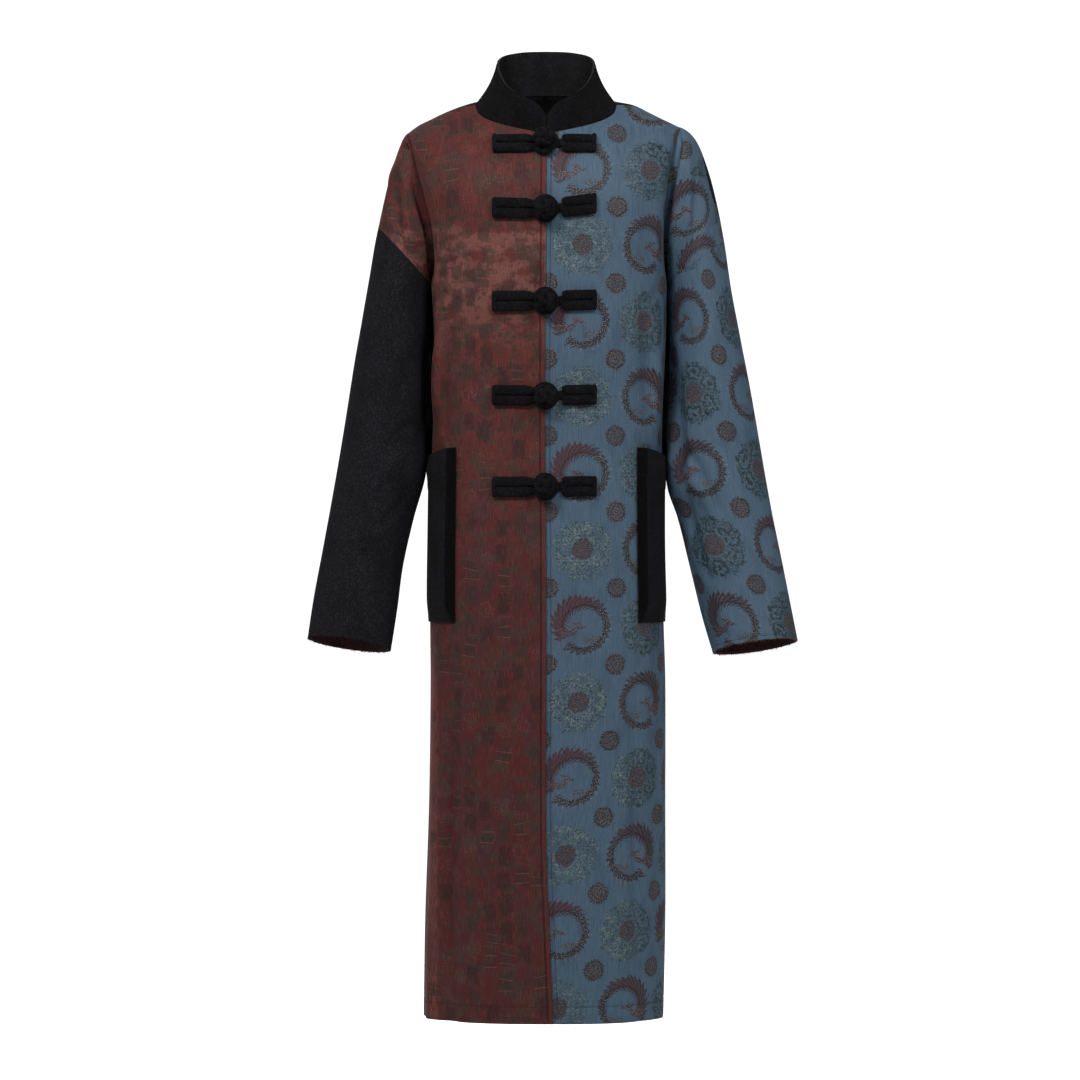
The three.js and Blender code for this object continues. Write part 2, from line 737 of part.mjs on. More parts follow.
/** The section angle whose yoke point lies a share of the way out. */
function yokeAngle(share, t) {
  let [low, high] = [0, 90];
  const bend = Math.min(1, t / 0.5);
  for (let i = 0; i < 24; i += 1) {
    const angle = (low + high) / 2;
    if (lerp(angle / 90, sectionAcross(angle), bend) < share) low = angle;
    else high = angle;
  }
  return (low + high) / 2;
}

/** A solid from closed geometry. */
function solidOf(points, triangles) {
  const numbers = new Float32Array(points.flatMap((point) => [point.x, point.y, point.z]));
  return new wasm.Manifold(
    new wasm.Mesh({ numProp: 3, vertProperties: numbers, triVerts: new Uint32Array(triangles) }),
  );
}

function geometryOf(solid) {
  const mesh = solid.getMesh();
  const geometry = new THREE.BufferGeometry();
  geometry.setAttribute("position", new THREE.BufferAttribute(mesh.vertProperties, 3));
  geometry.setIndex(new THREE.BufferAttribute(mesh.triVerts, 1));
  geometry.computeVertexNormals();
  return geometry;
}

/** A closed tube through rings of points. */
function skin(rings) {
  const count = rings[0].length;
  const triangles = [];
  for (let i = 0; i + 1 < rings.length; i += 1) {
    for (let j = 0; j < count; j += 1) {
      const [a, b] = [i * count + j, i * count + ((j + 1) % count)];
      triangles.push(a, b, b + count, a, b + count, a + count);
    }
  }
  const end = (rings.length - 1) * count;
  for (let j = 1; j + 1 < count; j += 1) {
    triangles.push(0, j + 1, j, end, end + j, end + j + 1);
  }
  const solid = solidOf(rings.flat(), triangles);
  return solid.volume() > 0 ? solid : solidOf(rings.flat(), triangles.reverse());
}

/** Cord laid on the front: each station has a place, a height above the cloth, and a section. */
function laidCord(place, stations, sides = 8) {
  const centres = stations.map(({ x, z, rise, height }) => place(x, z, rise + height / 2));
  const rings = stations.map(({ width, height }, i) => {
    const before = centres[Math.max(i - 1, 0)].point;
    const after = centres[Math.min(i + 1, centres.length - 1)].point;
    const { point, normal } = centres[i];
    const along = after.clone().sub(before).normalize();
    const across = along.cross(normal).normalize();
    return Array.from({ length: sides }, (_, k) => {
      const turn = 270 + (360 * (k + 0.5)) / sides;
      return point
        .clone()
        .addScaledVector(across, (cos(turn) * width) / 2 / cos(180 / sides))
        .addScaledVector(normal, (sin(turn) * height) / 2 / cos(180 / sides));
    });
  });
  return skin(rings);
}

/** Where a frog's own measures lie on the coat. */
function frogPlace(frog) {
  const upright = Math.abs(onFront(FROG.knotX, frog.z).normal.y);
  return (x, z, height) => {
    const rise = x < 0 ? frog.redRise : frog.blueRise;
    const lift = Math.max(0, Math.abs(x - FROG.knotX) - FROG.ring) * (sin(rise) / cos(rise));
    const { point, normal } = onFront(x, frog.z + (z + lift) * upright);
    return { point: point.addScaledVector(normal, height), normal };
  };
}

const legStation = (x, z) => ({ x, z, rise: CORD_LAID_ON, ...FROG.tube });

/** The stitched bar across the ends of a frog's two legs. */
function frogBar(place, x) {
  const half = FROG.bar.length / 2;
  const { width, height } = FROG.bar;
  const station = (z) => ({ x, z, rise: FROG.bar.rise, width, height });
  return laidCord(place, [half, half / 2, 0, -half / 2, -half].map(station), 6);
}

/** The loop side: two legs on the red front that open into a ring round the knot. */
function makeFrogLoop(frog) {
  const place = frogPlace(frog);
  const legXs = [FROG.redEnd, (FROG.redEnd + FROG.redTurn) / 2, FROG.redTurn];
  const legs = legXs.map((x) => legStation(x, FROG.legSpread));
  const ring = [150, 120, 90, 60, 30, 0, -30, -60, -90, -120, -150].map((turn) => ({
    x: FROG.knotX + FROG.ring * cos(turn),
    z: FROG.ring * sin(turn) * (Math.abs(turn) > 100 ? 0.92 : 1),
    rise: lerp(CORD_LAID_ON, FROG.ringRise, smoothstep(cos(turn), -0.9, 0.4)),
    ...FROG.cord,
  }));
  const back = [...legs].reverse().map((station) => ({ ...station, z: -station.z }));
  return laidCord(place, [...legs, ...ring, ...back]).add(frogBar(place, FROG.redEnd));
}

/** The knotted ball: a flattened sphere with the cord's turns raised on it. */
function frogBall(place) {
  const { point, normal } = place(FROG.knotX, 0, FROG.ball.height);
  const across = vector(1, 0, 0).addScaledVector(normal, -normal.x).normalize();
  const up = normal.clone().cross(across);
  const rings = [8, 32, 58, 84, 110, 136, 160].map((tilt) =>
    Array.from({ length: 12 }, (_, k) => {
      const turn = 30 * k;
      const weave = FROG.ball.ridges * sin(3 * turn + 3 * tilt) * sin(tilt);
      const radius = FROG.ball.radius + weave;
      return point
        .clone()
        .addScaledVector(across, radius * sin(tilt) * cos(turn))
        .addScaledVector(up, radius * sin(tilt) * sin(turn))
        .addScaledVector(normal, (FROG.ball.flat + weave) * cos(tilt));
    }),
  );
  return skin(rings);
}

/** The button side: two legs on the blue front, a flat tail under the ring, the stem and the ball. */
function makeFrogButton(frog) {
  const place = frogPlace(frog);
  const leg = (z) => laidCord(place, [FROG.blueStart, 40, FROG.blueEnd].map((x) => legStation(x, z)));
  const tailStation = (x) => ({ x, z: 0, rise: CORD_LAID_ON, ...FROG.tail });
  const tail = [FROG.blueStart + 4, 8, FROG.knotX - 3].map(tailStation);
  const { from, to, width } = FROG.stem;
  const stemRings = [from, to].map((height) => {
    const { point, normal } = place(FROG.knotX, 0, height);
    const across = vector(1, 0, 0).addScaledVector(normal, -normal.x).normalize();
    const up = normal.clone().cross(across);
    return Array.from({ length: 8 }, (_, k) =>
      point
        .clone()
        .addScaledVector(across, (cos(45 * k) * width) / 2)
        .addScaledVector(up, (sin(45 * k) * width) / 2),
    );
  });
  const spread = FROG.legSpread;
  return [leg(-spread), frogBar(place, FROG.blueEnd), laidCord(place, tail), skin(stemRings), frogBall(place)]
    .reduce((whole, solid) => whole.add(solid), leg(spread));
}

// ---------------------------------------------------------------------------------------------
// The coat.

const coat = new THREE.Group();

const FINISHES = {
  redBrocade: { color: 0x55292b, roughness: 0.6, metalness: 0 },
  blueBrocade: { color: 0x4a6278, roughness: 0.6, metalness: 0 },
  blackWool: { color: 0x1c1c1f, roughness: 0.9, metalness: 0 },
  blackCord: { color: 0x141416, roughness: 0.8, metalness: 0 },
  lining: { color: 0x2a1315, roughness: 0.8, metalness: 0 },
};

function addPiece(name, geometry, finish) {
  const mesh = new THREE.Mesh(geometry, new THREE.MeshStandardMaterial(FINISHES[finish]));
  mesh.name = name;
  coat.add(mesh);
}

addPiece("right_front", makeFront(RED), "redBrocade");
addPiece("left_front", makeFront(BLUE), "blueBrocade");
addPiece("back", makeBack(), "blackWool");
addPiece("right_sleeve_front", makeSleeve(RED, FRONT), "blackWool");
addPiece("right_sleeve_back", makeSleeve(RED, BACK), "blackWool");
addPiece("left_sleeve_front", makeSleeve(BLUE, FRONT), "blueBrocade");
addPiece("left_sleeve_back", makeSleeve(BLUE, BACK), "blueBrocade");
addPiece("right_cuff_lining", makeCuffLining(RED), "lining");
addPiece("left_cuff_lining", makeCuffLining(BLUE), "lining");
addPiece("collar", makeCollar(), "blackWool");
addPiece("right_pocket", makePocket(RED), "blackWool");
addPiece("left_pocket", makePocket(BLUE), "blackWool");
FROGS.forEach((frog, i) => {
  addPiece(`frog_${i + 1}_loop`, geometryOf(makeFrogLoop(frog)), "blackCord");
  addPiece(`frog_${i + 1}_button`, geometryOf(makeFrogButton(frog)), "blackCord");
});

export default coat;
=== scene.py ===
"""The looks of the brocade coat: cloth, folds, brocade patterns, frogs, stitching, light and camera.

Shapes are made in the same millimetres as the solids, and scaled to metres when a mesh is made.
+Z is up, +X is towards the wearer's left and the front faces -Y.
"""

import math
from functools import partialmethod

import bpy
import numpy as np
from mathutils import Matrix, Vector


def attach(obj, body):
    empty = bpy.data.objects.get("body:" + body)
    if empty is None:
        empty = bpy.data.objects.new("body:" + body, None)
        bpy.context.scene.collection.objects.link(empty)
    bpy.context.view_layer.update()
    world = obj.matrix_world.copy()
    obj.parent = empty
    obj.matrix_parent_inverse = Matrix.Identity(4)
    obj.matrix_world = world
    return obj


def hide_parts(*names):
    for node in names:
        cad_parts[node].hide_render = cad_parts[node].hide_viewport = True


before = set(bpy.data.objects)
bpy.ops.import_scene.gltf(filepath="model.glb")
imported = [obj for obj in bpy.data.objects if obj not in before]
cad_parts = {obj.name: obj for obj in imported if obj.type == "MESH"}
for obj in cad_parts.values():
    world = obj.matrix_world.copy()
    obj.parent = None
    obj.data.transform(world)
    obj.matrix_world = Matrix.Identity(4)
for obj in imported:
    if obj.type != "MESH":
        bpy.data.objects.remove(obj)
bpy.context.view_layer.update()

MM = 0.001
RED, BLUE = -1, 1
FRONT, BACK = -1, 1
SIDE_NAME = {RED: "right", BLUE: "left"}
LIGHT_ON_CLOTH = 1.25
random = np.random.default_rng(7)

# -------------------------------------------------------------------------------------------------
# The garment's measures, as the solids have them. Only the seams' gap is smaller than the solids'
# 0.3 mm, so that no light shows through a side seam.

CLOTH, COLLAR_CLOTH, POCKET_CLOTH, LINING_CLOTH = 2.0, 3.0, 1.8, 1.0
SEAM_GAP, LAID_ON, CORD_LAID_ON = 0.06, 0.5, 0.8
HEM_Z, UNDERARM_Z = -1180, -234
NECK_HALF_WIDTH = 92
NECK_Z, NECK_T = {FRONT: -48, BACK: 18}, {FRONT: 0.42, BACK: 0.22}
SHOULDER_TIP_Z = {RED: -38, BLUE: -29}
CHEST_DEPTH = {FRONT: 122, BACK: 108}
ARCH_END, SECTION_POWER = 0.75, 2.6
FOLD_DEPTH, CAP_DEPTH = 50, 60
UNDERLAP_WIDTH, UNDERLAP_INSET, UNDERLAP_BLEND, UNDERLAP_DROP = 30, 2.4, 8, 3


def table(columns, rows):
    """Columns of numbers by name."""
    return dict(zip(columns.split(), np.array(rows, float).T))


TRUNK = table("z red blue front back", [
    (-234, 149, 157, 122, 108), (-292, 146, 156, 121, 104), (-410, 147, 151, 115, 98),
    (-500, 149, 150.5, 115, 103), (-592, 150.5, 151, 120, 112), (-680, 150.5, 153, 121, 116),
    (-748, 150, 155, 122, 118), (-904, 152, 155, 124, 122), (-1054, 157, 155, 126, 125),
    (-1180, 159, 152.5, 127, 127)])
FRONT_EDGE = table("z x", [(-48, 0.5), (-380, -1.5), (-640, 0), (-950, 0), (-1060, 4), (-1180, 9)])
SHOULDER = table("out red blue", [
    (92, 0, 0), (104, -1.5, -0.5), (117, -5, -2), (133, -11, -9.5), (151, -19.5, -18.3),
    (166, -27, -25.3), (181, -38, -33)])
ARMHOLE_FOLD = table("t red blue", [
    (0, 181, 174), (0.15, 178.3, 172), (0.3, 173.5, 167), (0.45, 166.5, 161), (0.6, 157, 155.7),
    (0.75, 146.5, 152), (0.9, 143.8, 153), (1, 149, 157)])
ARM_SEAM = {
    RED: table("z out", [(-41, 183.5), (-49, 187.5), (-73, 196.5), (-110, 207), (-160, 218)]),
    BLUE: table("z out", [(-32, 179.5), (-38, 188), (-51, 197.5), (-73, 206.6), (-102, 215.7),
                          (-141, 224.8), (-177, 231.5)])}
ARM_SEAM_PACE = 1.15
SLEEVE = {
    RED: table("at out y z half deep lean forward", [
        (0, 183.5, 0, -197, 50.6, 60, 47, 0), (1, 189.5, -2, -240, 44.8, 60, 30, 2),
        (2, 195, -4, -290, 45.3, 61, 16, 3), (3, 200.5, -6, -345, 49.1, 62, 9, 5),
        (4, 205.7, -10, -410, 53.8, 62, 7, 8), (5, 212, -16, -470, 57, 61, 7, 10),
        (6, 224.9, -25, -530, 54.2, 58, 8, 11), (7, 236.7, -36, -590, 52.9, 54, 8, 11),
        (8, 245.1, -47, -645, 54.3, 51, 8, 11), (9, 252.9, -58, -699, 54.2, 48, 8, 11)]),
    BLUE: table("at out y z half deep lean forward", [
        (0, 194.25, 0, -205.5, 46.9, 60, 37.4, 0), (1, 200.5, -2, -262, 45.1, 60, 26, 2),
        (2, 206.5, -4, -315, 47.4, 61, 14, 3), (3, 211.8, -8, -375, 53.4, 62, 9, 5),
        (4, 215.5, -12, -435, 59.9, 62, 8, 8), (5, 222.4, -18, -490, 62, 61, 8, 10),
        (6, 234, -27, -545, 60, 58, 8, 11), (7, 245.9, -38, -600, 58.9, 54, 8, 11),
        (8, 257.6, -49, -655, 57.5, 51, 8, 11), (9, 268.6, -60, -702, 55.2, 48, 8, 11)])}
COLLAR_RIM = table("angle x y z", [
    (0, 0, -75, -20), (10, 11, -74, -6.5), (22, 23, -70, 1), (40, 39, -62, 10), (58, 52, -49, 21),
    (75, 60, -32, 36), (90, 63.5, -12, 50), (110, 62, 10, 60), (130, 53, 30, 68), (155, 31, 45, 73.5),
    (180, 0, 50, 75)])
COLLAR_ENDS, COLLAR_HOLLOW, COLLAR_LIFT = 0.6, 3.5, 0.6
NECK_FACETS = np.array([0, 15, 30, 45, 60, 75, 90, 112.5, 135, 157.5, 180])

# Soft folds of the trunk by the angle round the body, as the solids have them.
TRUNK_FOLDS = table("side angle drift top bottom half height", [
    (RED, 61, 90, -245, -440, 10, 7), (RED, 78, 60, -245, -440, 9, -6), (BLUE, 67, 0, -240, -470, 10, 4),
    (BLUE, 50, 0, -240, -430, 9, -3), (RED, 66, 0, -700, -1400, 11, 5), (RED, 47, 0, -700, -1400, 10, -6),
    (BLUE, 70, 0, -760, -1400, 12, 3), (BLUE, 46, 0, -820, -1400, 12, -3),
    (RED, 128, 6, -320, -1400, 13, 5), (RED, 152, 4, -480, -1400, 11, -5),
    (BLUE, 121, 5, -380, -1400, 13, 5), (BLUE, 146, -6, -300, -1400, 12, -5),
    (RED, 108, 0, -210, -530, 18, 15), (BLUE, 108, 0, -210, -530, 18, 16)])
FOLD_FADE = 110
SLEEVE_FOLDS = table("side along turn reach half height", [
    (RED, 4.2, 20, 0.9, 60, -4), (RED, 5.3, 40, 0.7, 50, 4), (RED, 3.4, 250, 0.8, 70, -4),
    (BLUE, 4.9, 20, 0.8, 55, 5), (BLUE, 5.8, 45, 0.7, 55, -6), (BLUE, 6.8, 60, 0.8, 45, 4),
    (BLUE, 3.6, 250, 0.8, 70, -4)])

POCKET_FRONT, POCKET_BOTTOM, POCKET_TOP, POCKET_SLOPE = 45, -671, -447, -0.36
POCKET_BOTTOM_RISE, POCKET_BAND, POCKET_BAND_RAISE, POCKET_SIDE_END = 30, 36, 0.8, 48.6
POCKET_OUT = table("angle out", [
    (45, 0.5), (48.5, 11), (54, 10), (63, 8), (72, 6), (81, 3.2), (90, 2.2), (99, 2.6), (108, 3),
    (117, 2.8), (126, 0.5)])

FROGS = table("z red_rise blue_rise", [(-61, 0, 0), (-145, 2, 8), (-262, 0, 2), (-382, 1, 2), (-498, 0, 1)])
KNOT_X = -2
FROG_TUBE, FROG_CORD, TUBE_WOBBLE = (13, 7), (9, 5.4), 0.012
LEG_SPREAD, RED_END, RED_TURN, BLUE_END, BLUE_START = 6.6, -65, -25, 60.5, 20
RING, RING_RISE = 13.5, 5.4
BAR_WIDTH, BAR_LENGTH, BAR_HEIGHT = 6, 25.9875, 7
FROG_TAIL, FROG_STEM = (12, 4.5), (9, 3, 17)
BALL_RADIUS, BALL_FLAT, BALL_HEIGHT = 15, 10, 18

# -------------------------------------------------------------------------------------------------
# Finer folds, given one by one. Each runs from one place to another in the front view (or the back's),
# with a bow to one side; its far side is steeper, and its height is below zero for a crease.

def placed(groups):
    """Folds from the rows that each face and side has."""
    return table("face side x0 z0 x1 z1 bow half steep height",
                 [(*panel, *row) for panel, rows in groups.items() for row in rows])


FOLDS = placed({
    (FRONT, RED): [
        # The red chest beside the sleeve, under the arm and down to the pocket.
        (-160, -70, -133, -250, -6, 13, 0.8, 2.6), (-127, -255, -141, -412, 6, 8, 0.6, 3.6),
        (-118, -262, -128, -452, 5, 9, 0.7, -3.2), (-136, -418, -120, -462, 2, 7, 0.7, 2.4),
        (-108, -300, -96, -470, -4, 16, 1.0, 1.8), (-142, -236, -112, -262, 3, 7, 0.8, -2.4),
        (-146, -262, -108, -300, 4, 8, 0.8, 2.0), (-88, -70, -104, -220, 8, 20, 1.0, 1.6),
        (-70, -250, -84, -440, -5, 22, 1.0, -1.4),
        # The red skirt: a light strip beside a dark hollow.
        (-136, -690, -141, -1170, -3, 12, 0.7, 3.4), (-119, -700, -121, -1170, 2, 8, 0.6, -3.8),
        (-104, -690, -102, -1165, 4, 13, 0.9, 1.8), (-52, -720, -44, -1160, -8, 26, 1.0, -1.7),
        (-76, -560, -70, -960, 6, 22, 1.0, 1.3), (-24, -640, -20, -1120, 4, 15, 1.0, 1.0),
        (-150, -690, -152, -1100, 3, 8, 0.7, -2.0),
        # The red cap: two soft folds down from the shoulder tip, and short ones over the seam.
        (-196, -70, -198, -186, 3, 7, 0.8, 4.2), (-190, -100, -186, -205, 2, 6, 0.8, -3.4),
        (-182, -130, -172, -225, 2, 7, 0.8, 3.6), (-206, -100, -204, -165, 2, 6, 0.7, -2.6)],
    (FRONT, BLUE): [
        # The blue chest beside the sleeve, and down its side.
        (154, -70, 144, -236, 5, 11, 0.8, 2.8), (137, -240, 143, -436, -4, 9, 0.7, 3.0),
        (124, -250, 128, -430, -4, 10, 0.8, -2.4), (152, -232, 118, -268, -3, 8, 0.8, -2.2),
        (96, -90, 112, -230, -7, 20, 1.0, 1.6), (80, -280, 92, -470, 5, 22, 1.0, -1.3),
        # The blue skirt.
        (126, -690, 132, -1170, 4, 12, 0.8, 2.2), (108, -700, 112, -1165, -4, 12, 0.8, -2.4),
        (60, -740, 54, -1165, 7, 26, 1.0, 1.5), (30, -680, 32, -1100, -4, 18, 1.0, -1.1),
        (88, -600, 84, -1000, -5, 20, 1.0, 1.1), (146, -700, 147, -1160, 3, 8, 0.7, -1.6),
        # The blue cap.
        (182, -64, 178, -200, -5, 9, 0.7, 3.2), (194, -80, 196, -205, 4, 9, 0.7, -2.8),
        (208, -100, 206, -190, 3, 8, 0.8, 2.2)],
    (BACK, RED): [
        # The back: the yoke pulls towards the arms, and the skirt hangs in long uneven folds.
        (-176, -62, -143, -224, -7, 9, 0.5, -5.0), (-164, -80, -134, -245, -5, 12, 0.8, 3.4),
        (-70, -52, -132, -150, 8, 18, 1.0, 1.8), (-128, -250, -120, -520, 7, 12, 0.7, 3.4),
        (-104, -330, -92, -760, 6, 15, 0.8, -3.0), (-62, -420, -70, -1168, -9, 20, 0.8, 3.2),
        (-36, -560, -30, -1168, 6, 16, 0.8, -2.8), (-112, -640, -120, -1168, 5, 14, 0.7, 3.2),
        (-92, -720, -96, -1168, -5, 11, 0.7, -3.0), (-14, -300, -8, -700, 5, 20, 1.0, 1.6),
        (-143, -215, -143, -350, 0, 11, 1.0, 8.0), (-154, -405, -154, -486, 0, 14, 1.0, 6.5),
        (-190, -70, -186, -190, 4, 9, 0.7, 3.0)],
    (BACK, BLUE): [
        (170, -60, 154, -214, 6, 9, 0.6, -4.6), (160, -76, 146, -240, 5, 12, 0.8, 3.4),
        (64, -48, 126, -160, -8, 18, 1.0, 1.8), (132, -250, 126, -560, -6, 13, 0.7, 3.0),
        (96, -300, 104, -700, -7, 15, 0.8, -3.2), (44, -380, 54, -1168, 10, 22, 0.8, 3.4),
        (20, -620, 24, -1168, -5, 14, 0.8, -2.6), (92, -700, 86, -1168, 6, 13, 0.7, -3.2),
        (116, -660, 124, -1168, -6, 14, 0.8, 3.0), (8, -130, 14, -380, -4, 20, 1.0, 1.4),
        (150, -215, 151, -350, 0, 11, 1.0, 7.0), (155, -425, 155, -478, 0, 14, 1.0, 5.5),
        (190, -70, 192, -195, -4, 9, 0.7, 3.0)]})

# Creases of the sleeves in the same way: drag lines at the elbow and long folds down the arm.
ARM_CREASES = placed({
    (FRONT, RED): [
        (-152, -290, -160, -450, -5, 13, 0.7, -6.0), (-160, -410, -214, -470, 9, 12, 0.7, -3.2),
        (-166, -442, -226, -516, 8, 13, 0.8, 2.6), (-176, -500, -232, -560, -8, 12, 0.7, -2.4),
        (-222, -235, -226, -420, -5, 14, 0.8, 2.0), (-190, -250, -188, -400, 6, 16, 0.9, -1.8),
        (-252, -480, -268, -660, 4, 13, 0.8, -1.8), (-214, -560, -236, -690, -5, 15, 0.9, 1.8)],
    (FRONT, BLUE): [
        (158, -300, 172, -520, -5, 16, 0.7, -9.0), (166, -440, 206, -505, -9, 11, 0.7, -3.6),
        (172, -476, 226, -560, -8, 12, 0.7, 3.0), (178, -474, 218, -640, 6, 10, 0.6, -4.2),
        (196, -600, 236, -690, -5, 12, 0.8, 2.4), (224, -250, 234, -420, 5, 15, 0.8, 1.8),
        (196, -260, 198, -400, -6, 14, 0.9, -1.8), (262, -470, 284, -660, -4, 14, 0.8, -1.6)],
    (BACK, RED): [
        (-158, -300, -226, -380, 9, 12, 0.7, -3.4), (-166, -350, -236, -452, 8, 13, 0.8, 3.0),
        (-178, -440, -250, -500, -8, 13, 0.7, -3.0), (-214, -520, -246, -680, 6, 15, 0.9, 2.2)],
    (BACK, BLUE): [
        (168, -310, 236, -396, -9, 12, 0.7, -3.4), (174, -370, 246, -470, -8, 13, 0.8, 3.0),
        (186, -450, 262, -520, 8, 13, 0.7, -3.0), (226, -530, 262, -690, -6, 15, 0.9, 2.2)]})


# -------------------------------------------------------------------------------------------------
# Curves and surfaces.

def sin(degrees):
    return np.sin(np.radians(degrees))


def cos(degrees):
    return np.cos(np.radians(degrees))


def lerp(start, end, share):
    return start + (end - start) * share


def smooth(x, low, high):
    """0 up to low, 1 from high on, and smooth between."""
    share = np.clip((x - low) / (high - low), 0, 1)
    return share * share * (3 - 2 * share)


def bump(distance, half):
    """A soft bump, 1 in its middle and 0 from its half width on."""
    share = np.clip(np.abs(distance) / half, 0, 1)
    return (1 - share * share) ** 2


def arrays(*values):
    """Numbers and arrays as float arrays of one shape."""
    return np.broadcast_arrays(*(np.asarray(value, float) for value in values))


def vectors(x, y, z):
    return np.stack(arrays(x, y, z), axis=-1)


def nearest(values, target):
    return int(np.argmin(np.abs(values - target)))


def unit(v):
    return v / np.maximum(np.linalg.norm(v, axis=-1, keepdims=True), 1e-9)


def colour_of(side):
    return "red" if side == RED else "blue"


def read(rows, key, at, name):
    """A column's smooth value at places on the key column, which only rises or only falls."""
    keys, values = rows[key], rows[name]
    if keys[0] > keys[-1]:
        keys, values = keys[::-1], values[::-1]
    index = np.arange(len(keys))
    before, after = np.maximum(index - 1, 0), np.minimum(index + 1, len(keys) - 1)
    slope = (values[after] - values[before]) / (keys[after] - keys[before])
    i = np.clip(np.searchsorted(keys, at, side="right") - 1, 0, len(keys) - 2)
    width = keys[i + 1] - keys[i]
    t = np.clip((at - keys[i]) / width, 0, 1)
    bend = t * (1 - t) * width * (slope[i] * (1 - t) - slope[i + 1] * t)
    return lerp(values[i], values[i + 1], t * t * (3 - 2 * t)) + bend


def front_edge(z):
    """How far the red front's edge wanders to the wearer's left."""
    return read(FRONT_EDGE, "z", z, "x")


def section_across(angle):
    return np.maximum(sin(angle), 0) ** (2 / SECTION_POWER)


def section_deep(angle):
    return np.maximum(cos(angle), 0) ** (2 / SECTION_POWER)


def drop_at(t):
    return 1 - cos(90 * np.asarray(t, float))


def arch_at(t):
    return sin(90 * np.minimum(1, np.asarray(t, float) / ARCH_END))


def trunk_fold(side, angle, z):
    total = 0.0
    for i in np.flatnonzero(TRUNK_FOLDS["side"] == side):
        fold = {name: column[i] for name, column in TRUNK_FOLDS.items()}
        middle = fold["angle"] + fold["drift"] * (fold["top"] - z) / 1000
        run = smooth(fold["top"] - z, 0, FOLD_FADE) * smooth(z - fold["bottom"], 0, FOLD_FADE)
        total = total + fold["height"] * bump(angle - middle, fold["half"]) * run
    return total


def trunk_point(side, angle, z, out=0.0):
    """Points of the trunk, by the angle round the body: 0 front edge, 90 side, 180 back."""
    angle, z, out = arrays(angle, z, out)
    ahead = angle <= 90
    face = np.where(ahead, FRONT, BACK)
    quarter = np.where(ahead, angle, 180 - angle)
    across, deep = section_across(quarter), section_deep(quarter)
    half = read(TRUNK, "z", z, colour_of(side))
    depth = np.where(ahead, read(TRUNK, "z", z, "front"), read(TRUNK, "z", z, "back"))
    middle = np.where(ahead, front_edge(z), 0)
    power = SECTION_POWER - 1
    normal = unit(vectors(side * across**power / half, face * deep**power / depth, 0))
    point = vectors(lerp(middle, side * half, across), face * depth * deep, z)
    return point + normal * (out + trunk_fold(side, angle, z))[..., None]


def neck_point(side, angle):
    """The neck seam: 0 in front, 90 at the side, 180 at the back."""
    angle = np.asarray(angle, float)
    ahead = angle <= 90
    deep = np.where(ahead, *(CHEST_DEPTH[face] * arch_at(NECK_T[face]) for face in (FRONT, BACK)))
    share = np.abs(cos(angle))
    x = lerp(side * NECK_HALF_WIDTH * sin(angle), front_edge(0), np.where(ahead, share**4, 0))
    return vectors(x, np.where(ahead, FRONT, BACK) * deep * share,
                   np.where(ahead, NECK_Z[FRONT], NECK_Z[BACK]) * share)


def neck_inward(side, angle):
    """The direction, into the cloth, in which the neck seam's two rims face each other."""
    angle = np.asarray(angle, float)
    share, aside = np.abs(cos(angle)), sin(angle)
    steep = np.where(angle <= 90, 0.35, 0.25)
    return unit(vectors(-side * aside, np.sign(cos(angle)) * share, -0.8 * aside - steep * share))


def along_neck(value_at, side, angle):
    """A value along the neck seam as the solids' straight facets have it."""
    angle = np.asarray(angle, float)
    i = np.clip(np.searchsorted(NECK_FACETS, angle, side="left"), 1, len(NECK_FACETS) - 1)
    low, high = NECK_FACETS[i - 1], NECK_FACETS[i]
    return lerp(value_at(side, low), value_at(side, high), ((angle - low) / (high - low))[..., None])


def inner_line(side, face, t):
    """The yoke's inner line: the neck seam, then the middle of the front or back."""
    t = np.asarray(t, float)
    end = NECK_T[face]
    turn = 90 * np.minimum(t, end) / end
    neck = neck_point(side, 90 - turn if face == FRONT else 90 + turn)
    height = lerp(NECK_Z[face], UNDERARM_Z, (drop_at(t) - drop_at(end)) / (1 - drop_at(end)))
    middle = front_edge(height) if face == FRONT else 0
    below = vectors(middle, face * CHEST_DEPTH[face] * arch_at(t), height)
    return np.where((t < end)[..., None], neck, below)


def armhole_fold(side, face, t):
    """The fold between body and sleeve."""
    return vectors(side * read(ARMHOLE_FOLD, "t", t, colour_of(side)), face * FOLD_DEPTH * sin(180 * t),
                   lerp(SHOULDER_TIP_Z[side], UNDERARM_Z, drop_at(t)))


def yoke_point(side, face, angle, t):
    """Points of the yoke between its inner line (angle 0) and the armhole fold (angle 90)."""
    angle, t = arrays(angle, t)
    inner, outer = inner_line(side, face, t), armhole_fold(side, face, t)
    share = lerp(angle / 90, section_across(angle), np.minimum(1, t / 0.5))
    x = lerp(inner[..., 0], outer[..., 0], share)
    middle = front_edge(inner[..., 2]) if face == FRONT else 0
    deep = face * CHEST_DEPTH[face] * arch_at(t)

    def section(at):
        across = np.clip((at - middle) / (outer[..., 0] - middle), 0, 1)
        return lerp(outer[..., 1], deep, (1 - across**SECTION_POWER) ** (1 / SECTION_POWER))

    to_neck = (inner[..., 1] - section(inner[..., 0])) * (1 - share) ** 2
    tip = read(ARMHOLE_FOLD, "t", 0.0, colour_of(side))
    bow = read(SHOULDER, "out", lerp(NECK_HALF_WIDTH, tip, share), colour_of(side))
    bow = bow - lerp(0, SHOULDER_TIP_Z[side], share)
    return vectors(x, section(x) + to_neck, lerp(inner[..., 2], outer[..., 2], share) + (1 - t) ** 2 * bow)


def arm_seam(side, t):
    """The seam along the top of the arm."""
    rows = ARM_SEAM[side]
    z = lerp(rows["z"][0], rows["z"][-1], np.asarray(t, float) ** ARM_SEAM_PACE)
    return vectors(side * read(rows, "z", z, "out"), 0, z)


